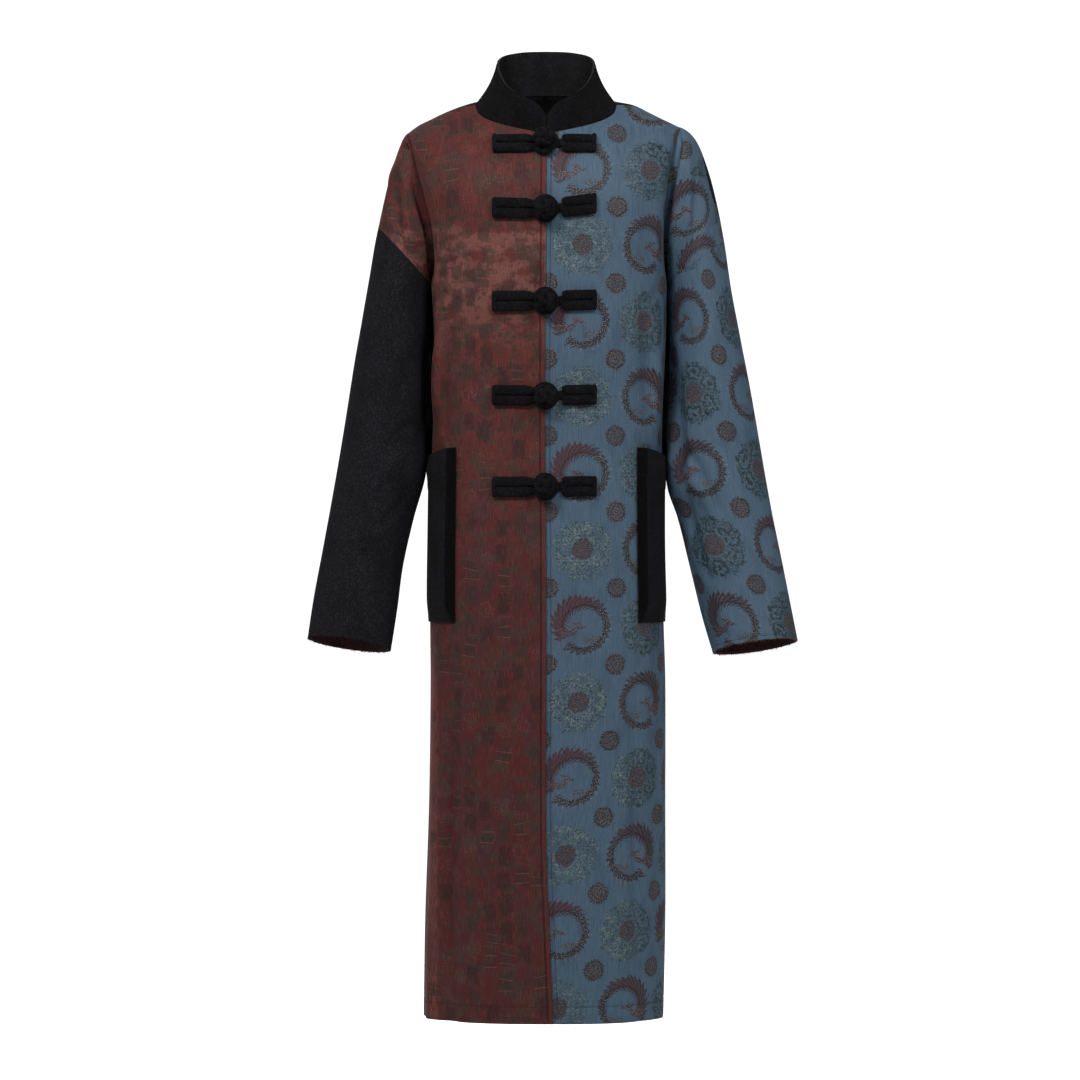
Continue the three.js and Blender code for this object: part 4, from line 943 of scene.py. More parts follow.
def red_brocade():
    """Dark red silk with worn greenish-grey figures: blocks, clouds, scrolls and short lines. A paler
    band across the chest is painted sheen, partly the cloth's own paler colour. The skirt is darker:
    painted shade, partly the cloth's own tone. A pale strip down the skirt's side is a painted highlight."""
    made = Surface("red_brocade", roughness=0.58, sheen=0.06, sheen_tint=(1, 0.62, 0.6), specular=0.12)
    u, v = made.cloth()
    x_place, _, z = made.space()
    warp = made.noise((u / 1.1, v / 14), 2)
    broad = made.noise((u / 15, v / 110), 3, 0.6)
    mottle = made.noise((u / 32, v / 24, 4.0), 4, 0.62)
    patch = made.noise((u / 12, v / 10, 11.0), 3, 0.6)
    speck = made.noise((u / 1.5, v / 1.5), 2, 0.7)
    ragged = made.noise((u / 3.6, v / 3.6, 2.0), 2) - 0.5
    made.paint((102, 49, 46))
    # Darker towards the hem: painted shade of the light falling off down the skirt, partly the cloth's own
    # darker tone; the figures show less there too.
    skirt = z.falls(-640, -420)
    made.paint((128, 58, 56), made.noise((u / 12, v / 50, 6.0), 2).rises(0.54, 0.66) * 0.35)
    made.paint((84, 38, 40), skirt * 0.6)
    made.paint((80, 58, 50), broad.rises(0.46, 0.6) * 0.45)
    made.paint((78, 46, 56), made.noise((u / 32, v / 44, 12.0), 2).rises(0.52, 0.66) * 0.5)
    # A paler pinkish band across the chest: painted sheen, partly the cloth's own paler colour.
    chest = z.rises(-350, -240) * (z + ragged * 10).falls(-170, -158)
    made.paint((150, 98, 91), chest * made.noise((u / 34, v / 22, 15.0), 2).rises(0.38, 0.54) * 0.6)
    made.paint((66, 60, 52), mottle.rises(0.51, 0.57) * 0.6)
    made.paint((60, 46, 42), patch.rises(0.55, 0.62) * (0.55 - skirt * 0.25))
    # A pale strip down the side of the skirt: a painted highlight along a fold.
    painted_side_highlight = abs(x_place + 141 + broad * 8).falls(3, 9) * z.falls(-720, -640)
    made.paint((140, 80, 76), painted_side_highlight * warp.falls(0.4, 0.62) * 0.65)

    # Woven figures in uneven cells of the cloth, each cell with its own kind.
    bent_u = u + (made.noise((u / 50, v / 50, 3.0), 1) - 0.5) * 18
    bent_v = v + (made.noise((u / 50, v / 50, 8.0), 1) - 0.5) * 18
    cell_u = bent_u / CELL_ACROSS
    cell_v = bent_v / CELL_DOWN + (cell_u.floor() * 2.3).sin() * 0.5
    kind = made.noise((cell_u.floor() * 5.13, cell_v.floor() * 7.71, 1.0), 0)
    x = cell_u.share() * CELL_ACROSS - CELL_ACROSS / 2
    y = cell_v.share() * CELL_DOWN - CELL_DOWN / 2
    torn = (patch - 0.5) * 18 + ragged * 8
    block = (abs(x).most(abs(y) * 0.68) + torn).falls(6.5, 8.5)
    bars = (y * (math.tau / 13)).sin().rises(0.94, 0.99) * (abs(x) + ragged * 6).falls(8.5, 9.5)
    curl = abs((length(x, y) * 0.9 + (wave(x, y) * 3).sin() * 1.8 + ragged * 7).sin()).falls(0.12, 0.3)
    dots = ((u * (math.tau / 3.2)).sin() * (v * (math.tau / 3.2)).sin()).rises(0.1, 0.5)
    made.paint((56, 52, 46), block * kind.rises(0.55, 0.57) * 0.6)
    made.paint((50, 40, 38), block * kind.falls(0.37, 0.39) * 0.6)
    made.paint((150, 90, 84), bars * kind.rises(0.64, 0.65) * 0.45)
    scroll = curl * length(x, y).falls(8, 13) * kind.rises(0.44, 0.46) * kind.falls(0.5, 0.52)
    made.paint((146, 100, 92), scroll * 0.5)
    made.paint((54, 46, 40), dots * mottle.falls(0.44, 0.5) * 0.35)
    made.paint((150, 116, 104), speck.rises(0.6, 0.74) * mottle.rises(0.42, 0.6) * 0.5)
    made.paint((66, 30, 30), warp.rises(0.46, 0.72) * 0.45)
    made.paint((140, 74, 70), warp.falls(0.3, 0.42) * 0.35)
    # Along the front edge: a paler strip up to the line of stitches, and at the stitches a dark line of
    # painted shade in their groove.
    made.paint((112, 52, 50), abs(u + 3.2).falls(1.2, 2.4) * 0.25)
    made.paint((36, 20, 20), abs(u + 6.4).falls(0.5, 1.5) * 0.6)
    made.paint((44, 26, 26), speck.falls(0.28, 0.42) * 0.5)

    weave = (u * (math.tau / 1.3)).sin() * 0.02 + (v * (math.tau / 1.2)).sin() * 0.02
    made.raise_by(weave + warp * 0.16 + speck * 0.2 + mottle.rises(0.5, 0.6) * 0.15)
    made.gloss(0.54 + warp * 0.14)
    return made.done()


def black_wool(name, colour, fleck, twill=1.7):
    """Felted black wool: a faint twill under a short nap with paler hairs."""
    made = Surface(name, roughness=0.95, sheen=0.012, specular=0.07, sheen_roughness=0.6)
    x, y, z = made.space()
    nap = made.noise((x / 1.6, y / 1.6, z / 2.4), 3, 0.65)
    hair = made.noise((x / 0.9, y / 0.9, z / 5), 1)
    cloud = made.noise((x / 30, y / 30, z / 45), 3)
    made.paint(colour)
    made.paint(fleck, nap.rises(0.48, 0.68) * 0.8)
    made.paint(tuple(0.6 * c for c in colour), cloud.rises(0.45, 0.7) * 0.5)
    made.paint(tuple(0.5 * c for c in colour), nap.falls(0.3, 0.44) * 0.7)
    made.paint(tuple(1.6 * c for c in fleck), hair.rises(0.64, 0.76) * 0.4)
    ribs = ((x + z + y * 0.4) * (math.tau / twill)).sin()
    made.raise_by(ribs * 0.05 + nap * 0.5 + hair * 0.2)
    return made.done()


def plain_cloth(name, colour, second, grain=(1.4, 22), roughness=0.6, sheen=0.02):
    """A plain woven cloth: linings, threads and bindings."""
    made = Surface(name, roughness=roughness, sheen=sheen, specular=0.15)
    x, y, z = made.space()
    thread = made.noise((x / grain[0], y / grain[0], z / grain[1]), 2)
    made.paint(colour)
    made.paint(second, thread.rises(0.4, 0.7) * 0.8)
    made.paint(second, made.noise((x / 26, y / 26, z / 26), 2).rises(0.5, 0.7) * 0.4)
    made.raise_by(thread * 0.2)
    return made.done()


RED_SILK = red_brocade()
BLUE_SILK = blue_brocade("blue_brocade", silver=0.85, clear_from=84)
# The sleeve's copy shows its pale threads less: painted shade on the sleeve.
BLUE_SILK_SHADED_SLEEVE = blue_brocade("blue_brocade_sleeve_shaded", silver=0.6, clear_from=100)
BODY_WOOL = black_wool("black_wool", (27, 26, 30), (50, 49, 54))
COLLAR_WOOL = black_wool("collar_wool", (14, 13, 15), (31, 30, 33), twill=1.4)
# The collar's rim: the same wool painted paler, a painted highlight along its edge.
COLLAR_EDGE_HIGHLIGHT = black_wool("collar_edge_highlight", (40, 39, 41), (66, 65, 66), twill=1.4)
COLLAR_INSIDE = black_wool("collar_inside", (29, 28, 30), (44, 43, 46), twill=1.4)
BACK_INSIDE = black_wool("back_inside", (20, 19, 22), (36, 35, 38))
POCKET_WOOL = black_wool("pocket_wool", (22, 21, 24), (40, 39, 43))
# The pocket's side wall: the same wool painted darker, painted shade where the coat's body keeps the light
# off.
POCKET_SIDE = black_wool("pocket_side_shade", (9, 9, 10), (18, 18, 20))
FROG_CLOTH = black_wool("frog_cloth", (16, 15, 17), (38, 36, 41), twill=1.1)
LINING = plain_cloth("lining", (52, 24, 28), (34, 16, 20))
CUFF_LINING = plain_cloth("cuff_lining", (84, 52, 54), (46, 26, 30))
BLACK_THREAD = plain_cloth("black_thread", (20, 19, 22), (38, 37, 40), (0.6, 0.6), 0.7)
RED_THREAD = plain_cloth("red_thread", (96, 46, 46), (64, 30, 32), (0.6, 0.6), 0.7)
BLUE_THREAD = plain_cloth("blue_thread", (60, 76, 90), (40, 52, 66), (0.6, 0.6), 0.7)
PALE_THREAD = plain_cloth("pale_thread", (150, 128, 120), (104, 84, 80), (0.6, 0.6), 0.8)

# -------------------------------------------------------------------------------------------------
# The fronts and the back.

def section_columns(fine, step):
    """Section angles with columns at some fine distances from the middle, then evenly spaced."""
    angle = np.linspace(0, 90, 2001)
    outline = vectors(152 * section_across(angle), 121 * section_deep(angle), 0)
    run = run_lengths(outline[None])[0]
    rest = np.linspace(fine[-1], run[-1], int((run[-1] - fine[-1]) / step) + 1)[1:]
    return np.interp(np.concatenate([fine, rest]), run, angle)


FRONT_COLUMNS = section_columns([0, 1.2, 2.6, 4, 5, 5.6, 6.2, 6.8, 7.6, 9, 11, 14], 3.6)
BACK_COLUMNS = section_columns([0, 1.5, 4], 4.6)
ROW_STEP = {FRONT: 4.6, BACK: 5.4}
# Where the lines of stitches run from the front edge and the hem, and how deep they lie.
EDGE_STITCH, EDGE_DEPTH, HEM_STITCH, HEM_DEPTH = 6.2, 0.55, 22, 0.5
CAP_SHARES = np.linspace(0, 1, 41)
# The hollow of the dropped shoulder next to the body: how deep, where from the fold, and half its width.
ARMHOLE_GROOVE = {RED: (19, 18, 19), BLUE: (10, 10, 11)}


def yoke_rows(face):
    """Steps down the yoke, one at the end of the neck seam and none far apart."""
    end = NECK_T[face]
    return np.concatenate([np.linspace(0, end, 26)[:-1], np.linspace(end, 1, 38)])


def trunk_rows(face):
    """Heights down the trunk, close together round the hem's stitches."""
    hem = HEM_Z + np.array([30, 26, 23.5, 22, 20.5, 18, 12, 5, 0])
    return np.concatenate([np.arange(UNDERARM_Z, HEM_Z + 32, -ROW_STEP[face]), hem])


def front_facing(t):
    """The direction that the middle of the front faces, at steps of the yoke."""
    start = np.maximum(t, NECK_T[FRONT])
    down = inner_line(BLUE, FRONT, start + 0.01) - inner_line(BLUE, FRONT, start)
    facing = unit(vectors(0, down[..., 2], -down[..., 1]))
    return np.where((t >= 1)[..., None], np.array([0, -1.0, 0]), facing)


def underlap_inset(point):
    """How far the blue front steps back where the red one lies over it."""
    out = point[..., 0] - front_edge(point[..., 2])
    return UNDERLAP_INSET * smooth(UNDERLAP_BLEND + 1 - out, 0, UNDERLAP_BLEND)


# Where the blue pattern's motifs lie on the dropped shoulder: down to each height, the place in the
# front view that takes a place of the lattice.
CAP_MOTIFS = [(-96, 177, -64, 44.25, 48.5), (-170, 185, -141.5, 0, 0), (-400, 207, -212, 0, 0)]


def pattern_drift(z):
    """The pattern runs towards the wearer's right on the skirt."""
    return 42 * np.clip((-680 - z) / 480, 0, 1) ** 1.2


def body_uv(side, face, points, across):
    """Cloth coordinates of the yoke and trunk."""
    z = points[..., 2]
    if side == BLUE and face == FRONT:
        return np.stack([across - 47.5 + pattern_drift(z), z + 190 + LATTICE_DOWN], -1)
    return np.stack([across * side, z], -1)


def cap_runs(side, face, points):
    """Runs of the dropped shoulder's rows with their cloth coordinates, measured along the cloth from
    the armhole fold. The blue pattern breaks between the runs."""
    x, z = points[..., 0], points[..., 2]
    across = x[:, :1] + side * run_lengths(points * [1, 1, 0])
    if side == RED or face == BACK:
        return [(slice(0, len(points)), np.stack([across, z], -1))]
    runs, start = [], 0
    level = z[:, z.shape[1] // 2]
    for above, at_x, at_z, lattice_u, lattice_v in CAP_MOTIFS:
        end = int(np.sum(level > above))
        rows = slice(start, min(end + 1, len(points)))
        centre = across.flat[np.argmin((x - at_x) ** 2 + (z - at_z) ** 2)]
        runs.append((rows, np.stack([across - centre + lattice_u, z - at_z + lattice_v], -1)[rows]))
        start = end
    return runs


def seam_ease(points):
    """Keeps folds off the seams between front and back, which lie in the plane y = 0."""
    return smooth(np.abs(points[..., 1]), 2, 16)


def add_body(cloth, side, face, columns):
    """One side's yoke, cap and trunk, front or back. Returns the trunk's grid and its distances."""
    axis = sleeve_axis(side)
    t, angle = yoke_rows(face)[:, None], columns[None, :]
    levels = trunk_rows(face)
    yoke = yoke_point(side, face, angle, t)
    cap = cap_point(side, face, CAP_SHARES[None, :], t)
    trunk = trunk_point(side, angle if face == FRONT else 180 - angle, levels[:, None])
    if side == BLUE and face == FRONT:
        yoke -= front_facing(t) * underlap_inset(yoke)[..., None]
        trunk[..., 1] += underlap_inset(trunk)
    gap = face * SEAM_GAP / 2
    yoke[0, :, 1] += gap
    yoke[-1, -1] += vectors(0, gap, 0) - axis * SEAM_GAP / 2
    cap[:, 0] = yoke[:, -1]
    cap[0, 1:, 1] += gap
    cap[1:, -1, 1] += gap
    cap[-1, 1:] -= axis * SEAM_GAP / 2
    trunk[0] = yoke[-1]
    trunk[1:, -1, 1] += gap

    square = (0, 1, 0)
    neck = (t[:, 0] <= NECK_T[face] + 1e-9)
    inward = np.full(yoke.shape, np.nan)
    inward[neck, 0] = neck_inward(side, 90 + face * 90 * t[neck, 0] / NECK_T[face])
    first = (np.s_[0, :], square)
    middle_x = front_edge(yoke[:, :1, 2]) if face == FRONT else 0
    across_yoke = run_lengths(yoke * [1, 1, 0], np.abs(yoke[:, :1, 0] - middle_x))
    across_trunk = run_lengths(trunk)
    from_neck = across_yoke - across_yoke[:, :1] + smooth(t, NECK_T[face], NECK_T[face] + 0.08) * 30
    ease = seam_ease(yoke) * smooth(from_neck, 4, 24)
    yoke_lift = folds_at(FOLDS, side, face, yoke) * ease
    cap_ease = seam_ease(cap) * smooth(1 - t, 0.02, 0.12)
    cap_lift = folds_at(FOLDS, side, face, cap) * cap_ease
    fold_line = yoke[:, -1]
    fold_lift = folds_at(FOLDS, side, face, fold_line) * seam_ease(fold_line)
    fold_lift = fold_lift * smooth(1 - t[:, 0], 0.02, 0.12)
    trunk_lift = folds_at(FOLDS, side, face, trunk) * seam_ease(trunk) * smooth(across_trunk, 8, 22)
    if face == FRONT:
        deep, middle_at, half = ARMHOLE_GROOVE[side]
        groove = deep * bump(run_lengths(cap) - middle_at, half)
        cap_lift -= groove * smooth(t, 0.12, 0.4) * smooth(1 - t, 0, 0.14)
        yoke_lift -= EDGE_DEPTH * bump(across_yoke - EDGE_STITCH, 1.6) * (t > NECK_T[face] + 0.02)
        trunk_lift -= EDGE_DEPTH * bump(across_trunk - EDGE_STITCH, 1.6)
    yoke_lift[:, -1] = cap_lift[:, 0] = fold_lift
    trunk_lift -= HEM_DEPTH * bump(trunk[..., 2] - HEM_Z - HEM_STITCH, 2.2) * smooth(across_trunk, 9, 14)
    yoke_lift[-1] = trunk_lift[0]
    yoke_lift[-1, -1] = cap_lift[-1, 0] = trunk_lift[0, -1] = 0

    middle = vectors(0, 0, lerp(-60, UNDERARM_Z, t))
    arm = (armhole_fold(side, face, t) + arm_seam(side, t)) / 2 * [1, 0, 1] - vectors(0, 0, 20 * (1 - t))
    cloth.patch(yoke, body_uv(side, face, yoke, across_yoke), middle, yoke_lift,
                [first, (np.s_[-1, -1], square)], inward)
    turned_over = CAP_SHARES > 1 - 0.235 * smooth(t, 0.02, 0.4) * smooth(1 - t, 0, 0.45)
    for rows, uv in cap_runs(side, face, cap):
        pins = [(np.s_[max(1 - rows.start, 0):, -1], square)]
        if rows.start == 0:
            pins.append(first)
        if rows.stop == len(cap):
            pins.append((np.s_[-1, 1:], axis))
        cloth.patch(cap[rows], uv, arm[rows], cap_lift[rows], pins,
                    other=turned_over[rows] if side == BLUE and face == FRONT else None)
    cloth.patch(trunk, body_uv(side, face, trunk, across_trunk), vectors(0, 0, levels)[:, None], trunk_lift,
                [(np.s_[1:, -1], square)])
    return {"yoke": yoke, "trunk": trunk, "across_yoke": across_yoke, "across_trunk": across_trunk}


def add_underlap(cloth):
    """The strip of the blue front that lies behind the red one."""
    t = yoke_rows(FRONT)
    t = t[(t >= NECK_T[FRONT] - 1e-9) & (t < 1)]
    levels = trunk_rows(FRONT)
    upper = yoke_point(RED, FRONT, np.array([[0, 9]]), t[:, None])
    lower = trunk_point(RED, np.array([[0, 9]]), levels[:, None])
    lower[0] = yoke_point(RED, FRONT, np.array([0, 9]), 1.0)
    ends = np.concatenate([upper, lower])
    facing = np.concatenate([front_facing(t), np.broadcast_to([0, -1.0, 0], (len(levels), 3))])
    shares = np.array([0, 0.25, 0.5, 0.75, 1])
    reach = UNDERLAP_WIDTH * shares[None, :] / (ends[:, :1, 0] - ends[:, 1:, 0])
    strip = lerp(ends[:, :1], ends[:, 1:], reach[..., None]) - UNDERLAP_INSET * facing[:, None]
    strip[0, 1:, 2] -= UNDERLAP_DROP
    inward = np.full(strip.shape, np.nan)
    inward[0, 0] = neck_inward(BLUE, 0)
    across = -UNDERLAP_WIDTH * shares[None, :] + 0 * strip[..., 0]
    inside = vectors(0, 0, np.minimum(strip[..., 2], UNDERARM_Z))
    cloth.patch(strip, body_uv(BLUE, FRONT, strip, across), inside, 0.0, (), inward)


def line_at(grid, across, distance):
    """A line down a grid at a distance along its rows, with the directions that the cloth faces."""
    normals = grid_normals(grid, vectors(0, 0, np.minimum(grid[..., 2], UNDERARM_Z)))
    pick = [np.array([at_distance(distance, *row) for row in zip(across, part)]) for part in (grid, normals)]
    return pick[0], unit(pick[1])


def hem_line(trunk, face, first):
    """The hem's line of stitches from a column on, with the directions that the cloth faces."""
    row = nearest(trunk_rows(face), HEM_Z + HEM_STITCH)
    normals = grid_normals(trunk, vectors(0, 0, trunk[..., 2]))
    return trunk[row, first:-2], normals[row, first:-2]


def add_stitching(name, runs, material, slot):
    """Several runs of stitches as one piece."""
    made = new_object(name, *join([stitch_run(*run) for run in runs]))
    return place_piece(made, slot, [material])


def build_body():
    below_neck = yoke_rows(FRONT) >= NECK_T[FRONT] + 0.03
    for side, silk, thread, slot in ((RED, RED_SILK, RED_THREAD, "red_brocade"),
                                     (BLUE, BLUE_SILK, BLUE_THREAD, "blue_brocade")):
        cloth = Cloth(CLOTH)
        grid = add_body(cloth, side, FRONT, FRONT_COLUMNS)
        if side == BLUE:
            add_underlap(cloth)
        name = f"{SIDE_NAME[side]}_front"
        made = place_piece(cloth.make(f"{name}_cloth"), slot, [silk, LINING, BODY_WOOL], name)
        upper = line_at(grid["yoke"][below_neck], grid["across_yoke"][below_neck], EDGE_STITCH)
        lower = line_at(grid["trunk"], grid["across_trunk"], EDGE_STITCH)
        edge = [np.concatenate(pair) for pair in zip(upper, lower)]
        added = add_stitching(f"{name}_stitching", [edge, hem_line(grid["trunk"], FRONT, 3)], thread, slot)
    cloth = Cloth(CLOTH)
    runs = [hem_line(add_body(cloth, side, BACK, BACK_COLUMNS)["trunk"], BACK, 0) for side in (RED, BLUE)]
    made = place_piece(cloth.make("back_cloth"), "black_wool", [BODY_WOOL, BACK_INSIDE], "back")
    added = add_stitching("back_stitching", runs, BLACK_THREAD, "black_wool")


# -------------------------------------------------------------------------------------------------
# Sleeves and cuffs.

SLEEVE_PITCH = 60 * math.pi / 180
# Stations down the sleeve, which count from 0 at the dropped seam.
CUFF_END, SLEEVE_HEM, LINING_START, LINING_END = 9, 8.9, 7.9, 8.97
FRINGE_THREADS = 420


def sleeve_grid(side, stations, out, turns):
    points = sleeve_point(side, turns[None, :] % 360, stations[:, None], out)
    points[:, -1] = points[:, 0]
    points[stations == 0] += sleeve_axis(side) * SEAM_GAP / 2
    return points


def sleeve_uv(side, points, turns):
    across = np.broadcast_to((turns[None, :] - 90) * SLEEVE_PITCH, points.shape[:2])
    z = points[..., 2]
    if side == RED:
        return np.stack([across, z], -1)
    return np.stack([(across + 27) * LATTICE_ACROSS / 88, (z + 279) * LATTICE_DOWN / 98], -1)


def sleeve_middle(side, stations):
    return (sleeve_point(side, 0, stations) + sleeve_point(side, 180, stations))[:, None] / 2


def build_sleeve(side):
    stations = np.unique(np.concatenate([np.linspace(0, CUFF_END, 121), [8.86, SLEEVE_HEM, 8.94]]))
    turns = np.linspace(0, 360, 97)
    points = sleeve_grid(side, stations, 0.0, turns)
    middle = sleeve_middle(side, stations)
    fade = smooth(stations, 0.1, 0.7)[:, None] * smooth(9.3 - stations, 0, 0.8)[:, None]
    lift = np.where(points[..., 1] < middle[..., 1],
                    *(folds_at(ARM_CREASES, side, face, points) for face in (FRONT, BACK)))
    lift = lift * fade * smooth(np.abs(points[..., 1] - middle[..., 1]), 4, 22)
    lift = lift - HEM_DEPTH * bump(stations[:, None] - SLEEVE_HEM, 0.03)
    name = f"{SIDE_NAME[side]}_sleeve"
    cloth = Cloth(CLOTH)
    cloth.patch(points, sleeve_uv(side, points, turns), middle, lift, [(np.s_[0, :], sleeve_axis(side))])
    outer, thread, slot = ((BODY_WOOL, BLACK_THREAD, "black_wool") if side == RED
                           else (BLUE_SILK_SHADED_SLEEVE, BLUE_THREAD, "blue_brocade"))
    made = place_piece(cloth.make(f"{name}_cloth"), slot, [outer, CUFF_LINING],
                       f"{name}_front", f"{name}_back")
    row = nearest(stations, SLEEVE_HEM)
    normals = grid_normals(points, middle)[row]
    stitching = add_stitching(f"{name}_stitching", [(points[row], normals)], thread, slot)
    fringe = build_fringe(side, points[-1], middle[-1, 0])

    stations = np.linspace(LINING_START, LINING_END, 16)
    points = sleeve_grid(side, stations, -CLOTH - LAID_ON, turns)
    lining = Cloth(LINING_CLOTH)
    lining.patch(points, sleeve_uv(RED, points, turns), sleeve_middle(side, stations), 0.0)
    cuff = f"{SIDE_NAME[side]}_cuff_lining"
    made = place_piece(lining.make(f"{cuff}_cloth"), "lining", [CUFF_LINING, CUFF_LINING], cuff)


def build_fringe(side, rim, middle):
    """The cuff's raw edge: short frayed threads that leave its rim."""
    parts = []
    at = run_lengths(rim[None])[0]
    down = unit(sleeve_point(side, 0, CUFF_END) - sleeve_point(side, 0, CUFF_END - 0.2)).ravel()
    for place in random.uniform(0, at[-1], FRINGE_THREADS):
        root = at_distance(place, at, rim)
        outward = unit(root - middle)
        root = root - outward * random.uniform(0.2, 1.8) - down * 0.4
        tilt = outward * random.normal(0, 0.45) + np.cross(outward, down) * random.normal(0, 0.6)
        way = unit(down + tilt)
        reach, thick = random.uniform(1.2, 3.6), random.uniform(0.16, 0.3)
        aside = unit(np.cross(way, outward))
        bend = outward * random.normal(0, 0.5)
        rings = [[root + way * reach * share + bend * share**2
                  + (aside * math.cos(a) + outward * math.sin(a)) * thick * size
                  for a in np.arange(3) * math.tau / 3] for share, size in ((0, 1), (0.5, 0.9), (1, 0.3))]
        parts.append(skin(rings))
    made = new_object(f"{SIDE_NAME[side]}_cuff_fringe", *join(parts))
    if side == RED:
        return place_piece(made, "black_wool", [BLACK_THREAD])
    return place_piece(made, "blue_brocade", [PALE_THREAD])


# -------------------------------------------------------------------------------------------------
# The collar and the pockets.

COLLAR_STITCH, COLLAR_STITCH_COLUMN, COLLAR_MIDDLE = 0.915, 3, np.array([0, -20, 15.0])


def neck_cord(side):
    """A fine cord that closes the seam under the collar."""
    angles = np.linspace(4, 180, 90)
    inward = unit(along_neck(neck_inward, side, angles))
    line = along_neck(neck_point, side, angles) + inward * CLOTH + vectors(0, 0, COLLAR_LIFT / 2)
    along = unit(np.gradient(line, axis=0))
    aside = unit(np.cross(along, inward))
    turn = (np.arange(6) * math.tau / 6)[None, :, None]
    return skin(line[:, None] + (aside[:, None] * np.cos(turn) + inward[:, None] * np.sin(turn)) * 1.1)


def build_collar():
    angles = np.unique(np.concatenate([np.linspace(0, 180, 121), NECK_FACETS]))
    shares = np.concatenate([np.linspace(0, 0.84, 14), [0.88, 0.9, COLLAR_STITCH, 0.93, 0.95, 0.975, 1]])
    cloth = Cloth(COLLAR_CLOTH)
    runs = []
    for side in (RED, BLUE):
        points = collar_point(side, angles[:, None], shares[None, :])
        inward = np.full(points.shape, np.nan)
        inward[:, 0] = unit(along_neck(neck_inward, side, angles))
        lift = -0.4 * bump(shares - COLLAR_STITCH, 0.02)[None, :] * np.ones((len(angles), 1))
        lift = lift + 0.9 * bump(angles[:, None] - 34, 16) * sin(180 * shares)[None, :]
        lift = lift - 0.8 * bump(angles[:, None] - 118, 22) * sin(180 * shares)[None, :]
        uv = np.stack([side * run_lengths(points.transpose(1, 0, 2)).T, points[..., 2]], -1)
        cloth.patch(points, uv, COLLAR_MIDDLE, lift, [(np.s_[0, :], (1, 0, 0))], inward)
        normals = grid_normals(points, COLLAR_MIDDLE)
        lines = [np.s_[2:, nearest(shares, COLLAR_STITCH)], np.s_[COLLAR_STITCH_COLUMN, 2:-4]]
        runs += [(points[line], normals[line]) for line in lines]
    # The rim takes the collar's painted highlight.
    made = place_piece(cloth.make("collar_cloth", rim_material=2), "black_wool",
                       [COLLAR_WOOL, COLLAR_INSIDE, COLLAR_EDGE_HIGHLIGHT], "collar")
    parts = [stitch_run(*run) for run in runs] + [neck_cord(side) for side in (RED, BLUE)]
    added = place_piece(new_object("collar_stitching", *join(parts)), "black_wool", [BLACK_THREAD])


BAND_STITCH, FRONT_STITCH_ANGLE, FOOT_STITCH = 0.156, 50.5, 6


def pocket_out(angle, z, top):
    foot = smooth(z - POCKET_BOTTOM, 0, POCKET_BOTTOM_RISE)
    band = POCKET_BAND_RAISE * smooth(z - top + POCKET_BAND, -1.5, 0)
    return LAID_ON + (read(POCKET_OUT, "angle", angle, "out") - LAID_ON) * foot + band


def build_pocket(side):
    angles = np.unique(np.concatenate([np.linspace(45, 54, 16), np.linspace(54, 126, 60)]))
    shares = np.unique(np.concatenate([np.linspace(0, 1, 70), [0.15, BAND_STITCH, 0.162, 0.168]]))[:, None]
    top = POCKET_TOP + POCKET_SLOPE * (angles - POCKET_FRONT)[None, :]
    z = lerp(top, POCKET_BOTTOM, shares)
    points = trunk_point(side, angles[None, :], z, pocket_out(angles[None, :], z, top) + POCKET_CLOTH)
    edge_swell = 1.1 * bump(angles[None, :] - 52, 5) * sin(180 * shares)
    ripple = 0.8 * sin(z * 1.9 + angles * 3) * bump(angles[None, :] - 70, 22) * sin(180 * shares)
    name = f"{SIDE_NAME[side]}_pocket"
    across = run_lengths(points)
    cloth = Cloth(POCKET_CLOTH)
    # The side wall takes the darker wool: painted shade.
    side_wall = np.broadcast_to(angles < POCKET_SIDE_END, points.shape[:2])
    cloth.patch(points, np.stack([across * side, points[..., 2]], -1), np.array([0, 0, -560.0]),
                (edge_swell + ripple) * smooth(z - POCKET_BOTTOM, 8, 30), other=side_wall)
    made = place_piece(cloth.make(f"{name}_cloth"), "black_wool",
                       [POCKET_WOOL, POCKET_WOOL, POCKET_SIDE], name)
    normals = grid_normals(points, vectors(0, 0, points[..., 2]))
    lines = [np.s_[nearest(shares[:, 0], BAND_STITCH), 2:-2],
             np.s_[2:-3, nearest(angles, FRONT_STITCH_ANGLE)],
             np.s_[nearest(z[:, 20], POCKET_BOTTOM + FOOT_STITCH), 4:-4]]
    runs = [(points[line], normals[line]) for line in lines]
    added = add_stitching(f"{name}_stitching", runs, BLACK_THREAD, "black_wool")


# -------------------------------------------------------------------------------------------------
# The frogs: cloth tubes, squared ends, a ring of cord and a ball knot.

def yoke_angle(share, t):
    low, high = np.zeros_like(share), np.full_like(share, 90)
    bend = np.minimum(1, t / 0.5)
    for _ in range(24):
        angle = (low + high) / 2
        less = lerp(angle / 90, section_across(angle), bend) < share
        low, high = np.where(less, angle, low), np.where(less, high, angle)
    return (low + high) / 2


